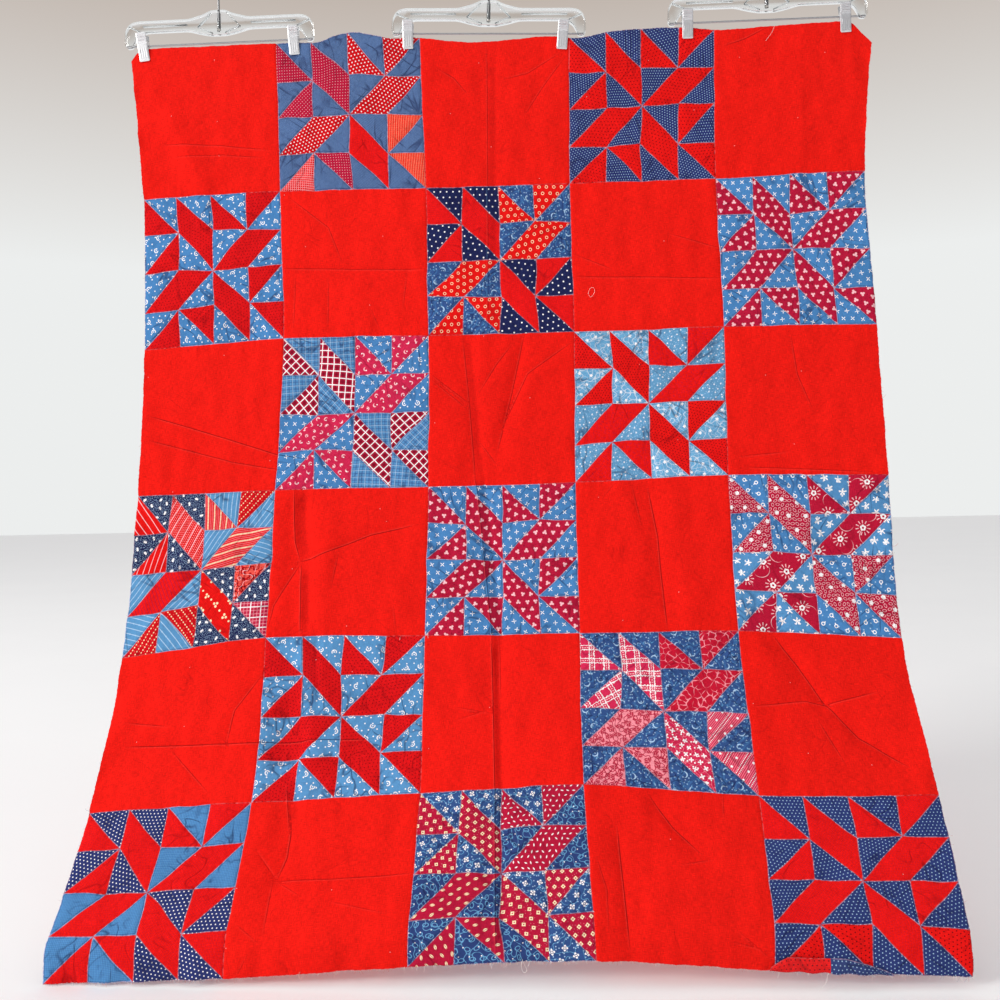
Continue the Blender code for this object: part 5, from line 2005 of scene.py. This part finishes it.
CAMERA_PLACE = (0.092, -1.829, -1.007)
CAMERA_TURN = 3.0
CAMERA_ROLL = 1.25
LENS = SENSOR = 36.0
FLOOR_HALF = 26.0
FLOOR_TONES = ((0.89, 0.89, 0.895), (0.92, 0.92, 0.92))
WALL_LOW = (0.84, 0.855, 0.85)
WALL_HIGH = (0.52, 0.45, 0.40)
ROOM_FRONT = (0.20, 0.20, 0.21)
CEILING = (0.92, 0.92, 0.93)
KEY_LIGHT = {"place": (-9.5, -6.2, 3.0), "aim": (0, -0.1, -0.9), "size": 3.4, "power": 1010,
             "colour": (1.0, 0.99, 0.97)}


def area_light(name, place, aim, size, power, colour):
    light = bpy.data.lights.new(name, "AREA")
    light.shape = "SQUARE"
    light.size = size
    light.energy = power
    light.color = colour
    made = bpy.data.objects.new(name, light)
    bpy.context.scene.collection.objects.link(made)
    made.location = place
    made.rotation_euler = (Vector(aim) - Vector(place)).to_track_quat("-Z", "Y").to_euler()


def soft_room(scene):
    """A pale room: white behind the cloth, greyer high up and on the camera's side."""
    world = bpy.data.worlds.new("studio")
    scene.world = world
    world.use_nodes = True
    g = Graph(world.node_tree)
    _, y, z = g.parts(g.node("ShaderNodeTexCoord", {}, {}, 0))
    behind = (y * 2.2 + 0.35).limited()
    high = ((z - 0.22) * 4.2).limited()
    wall = g.mix(high, WALL_LOW, WALL_HIGH)
    room = g.mix(behind, ROOM_FRONT, wall)
    ceiling = ((z - 0.50) * 8.0).limited()
    plug(g.tree, world.node_tree.nodes["Background"].inputs["Color"], g.mix(ceiling, room, CEILING))


class QUILT_OT_stage(bpy.types.Operator):
    """Sets the floor, the soft light and the camera"""

    bl_idname = "quilt.stage"
    bl_label = "Stage"

    def execute(self, context):
        low = CAD_BOX[0][2]
        bm = bmesh.new()
        bmesh.ops.create_grid(bm, x_segments=8, y_segments=8, size=FLOOR_HALF,
                              matrix=Matrix.Translation((0, 0, low - 2 * MM)))
        floor = add_object("floor", from_bmesh("floor", bm), floor_finish())
        soft_room(context.scene)
        area_light("key", **KEY_LIGHT)
        context.scene.view_settings.view_transform = "Standard"
        camera = bpy.data.cameras.new("camera")
        camera.lens = LENS
        camera.sensor_width = SENSOR
        made = bpy.data.objects.new("camera", camera)
        context.scene.collection.objects.link(made)
        turn, roll = math.radians(CAMERA_TURN), math.radians(CAMERA_ROLL)
        forward = Vector((-math.sin(turn), math.cos(turn), 0))
        right = Vector((math.cos(turn), math.sin(turn), 0))
        up = Vector((0, 0, 1))
        axes = Matrix((right * math.cos(roll) - up * math.sin(roll), right * math.sin(roll) + up * math.cos(roll),
                       -forward))
        made.matrix_world = Matrix.Translation(CAMERA_PLACE) @ axes.transposed().to_4x4()
        context.scene.camera = made
        return {"FINISHED"}


class QUILT_PT_panel(bpy.types.Panel):
    """Lists the quilt's sizes, colours and steps"""

    bl_idname = "QUILT_PT_panel"
    bl_label = "Quilt"
    bl_space_type = "VIEW_3D"
    bl_region_type = "UI"
    bl_category = "Quilt"

    def draw(self, context):
        layout = self.layout
        for group in (context.scene.quilt_sizes, context.scene.hanger_sizes, context.scene.quilt_colours):
            box = layout.box()
            for key in group.__annotations__:
                box.prop(group, key)
        for operator in OPERATORS:
            layout.operator(operator.bl_idname)


OPERATORS = (QUILT_OT_stage, QUILT_OT_plain_blocks, QUILT_OT_pieced_blocks, QUILT_OT_raw_edges, QUILT_OT_hanger_frames,
             QUILT_OT_hooks_and_rods, QUILT_OT_clips)
CLASSES = (QuiltSizes, QuiltColours, HangerSizes) + OPERATORS + (QUILT_PT_panel,)


def register():
    for made in CLASSES:
        bpy.utils.register_class(made)
    bpy.types.Scene.quilt_sizes = PointerProperty(type=QuiltSizes)
    bpy.types.Scene.quilt_colours = PointerProperty(type=QuiltColours)
    bpy.types.Scene.hanger_sizes = PointerProperty(type=HangerSizes)


def unregister():
    del bpy.types.Scene.hanger_sizes
    del bpy.types.Scene.quilt_colours
    del bpy.types.Scene.quilt_sizes
    for made in reversed(CLASSES):
        bpy.utils.unregister_class(made)


def main():
    register()
    for operator in OPERATORS:
        group, name = operator.bl_idname.split(".")
        getattr(getattr(bpy.ops, group), name)()


if __name__ == "__main__":
    main()
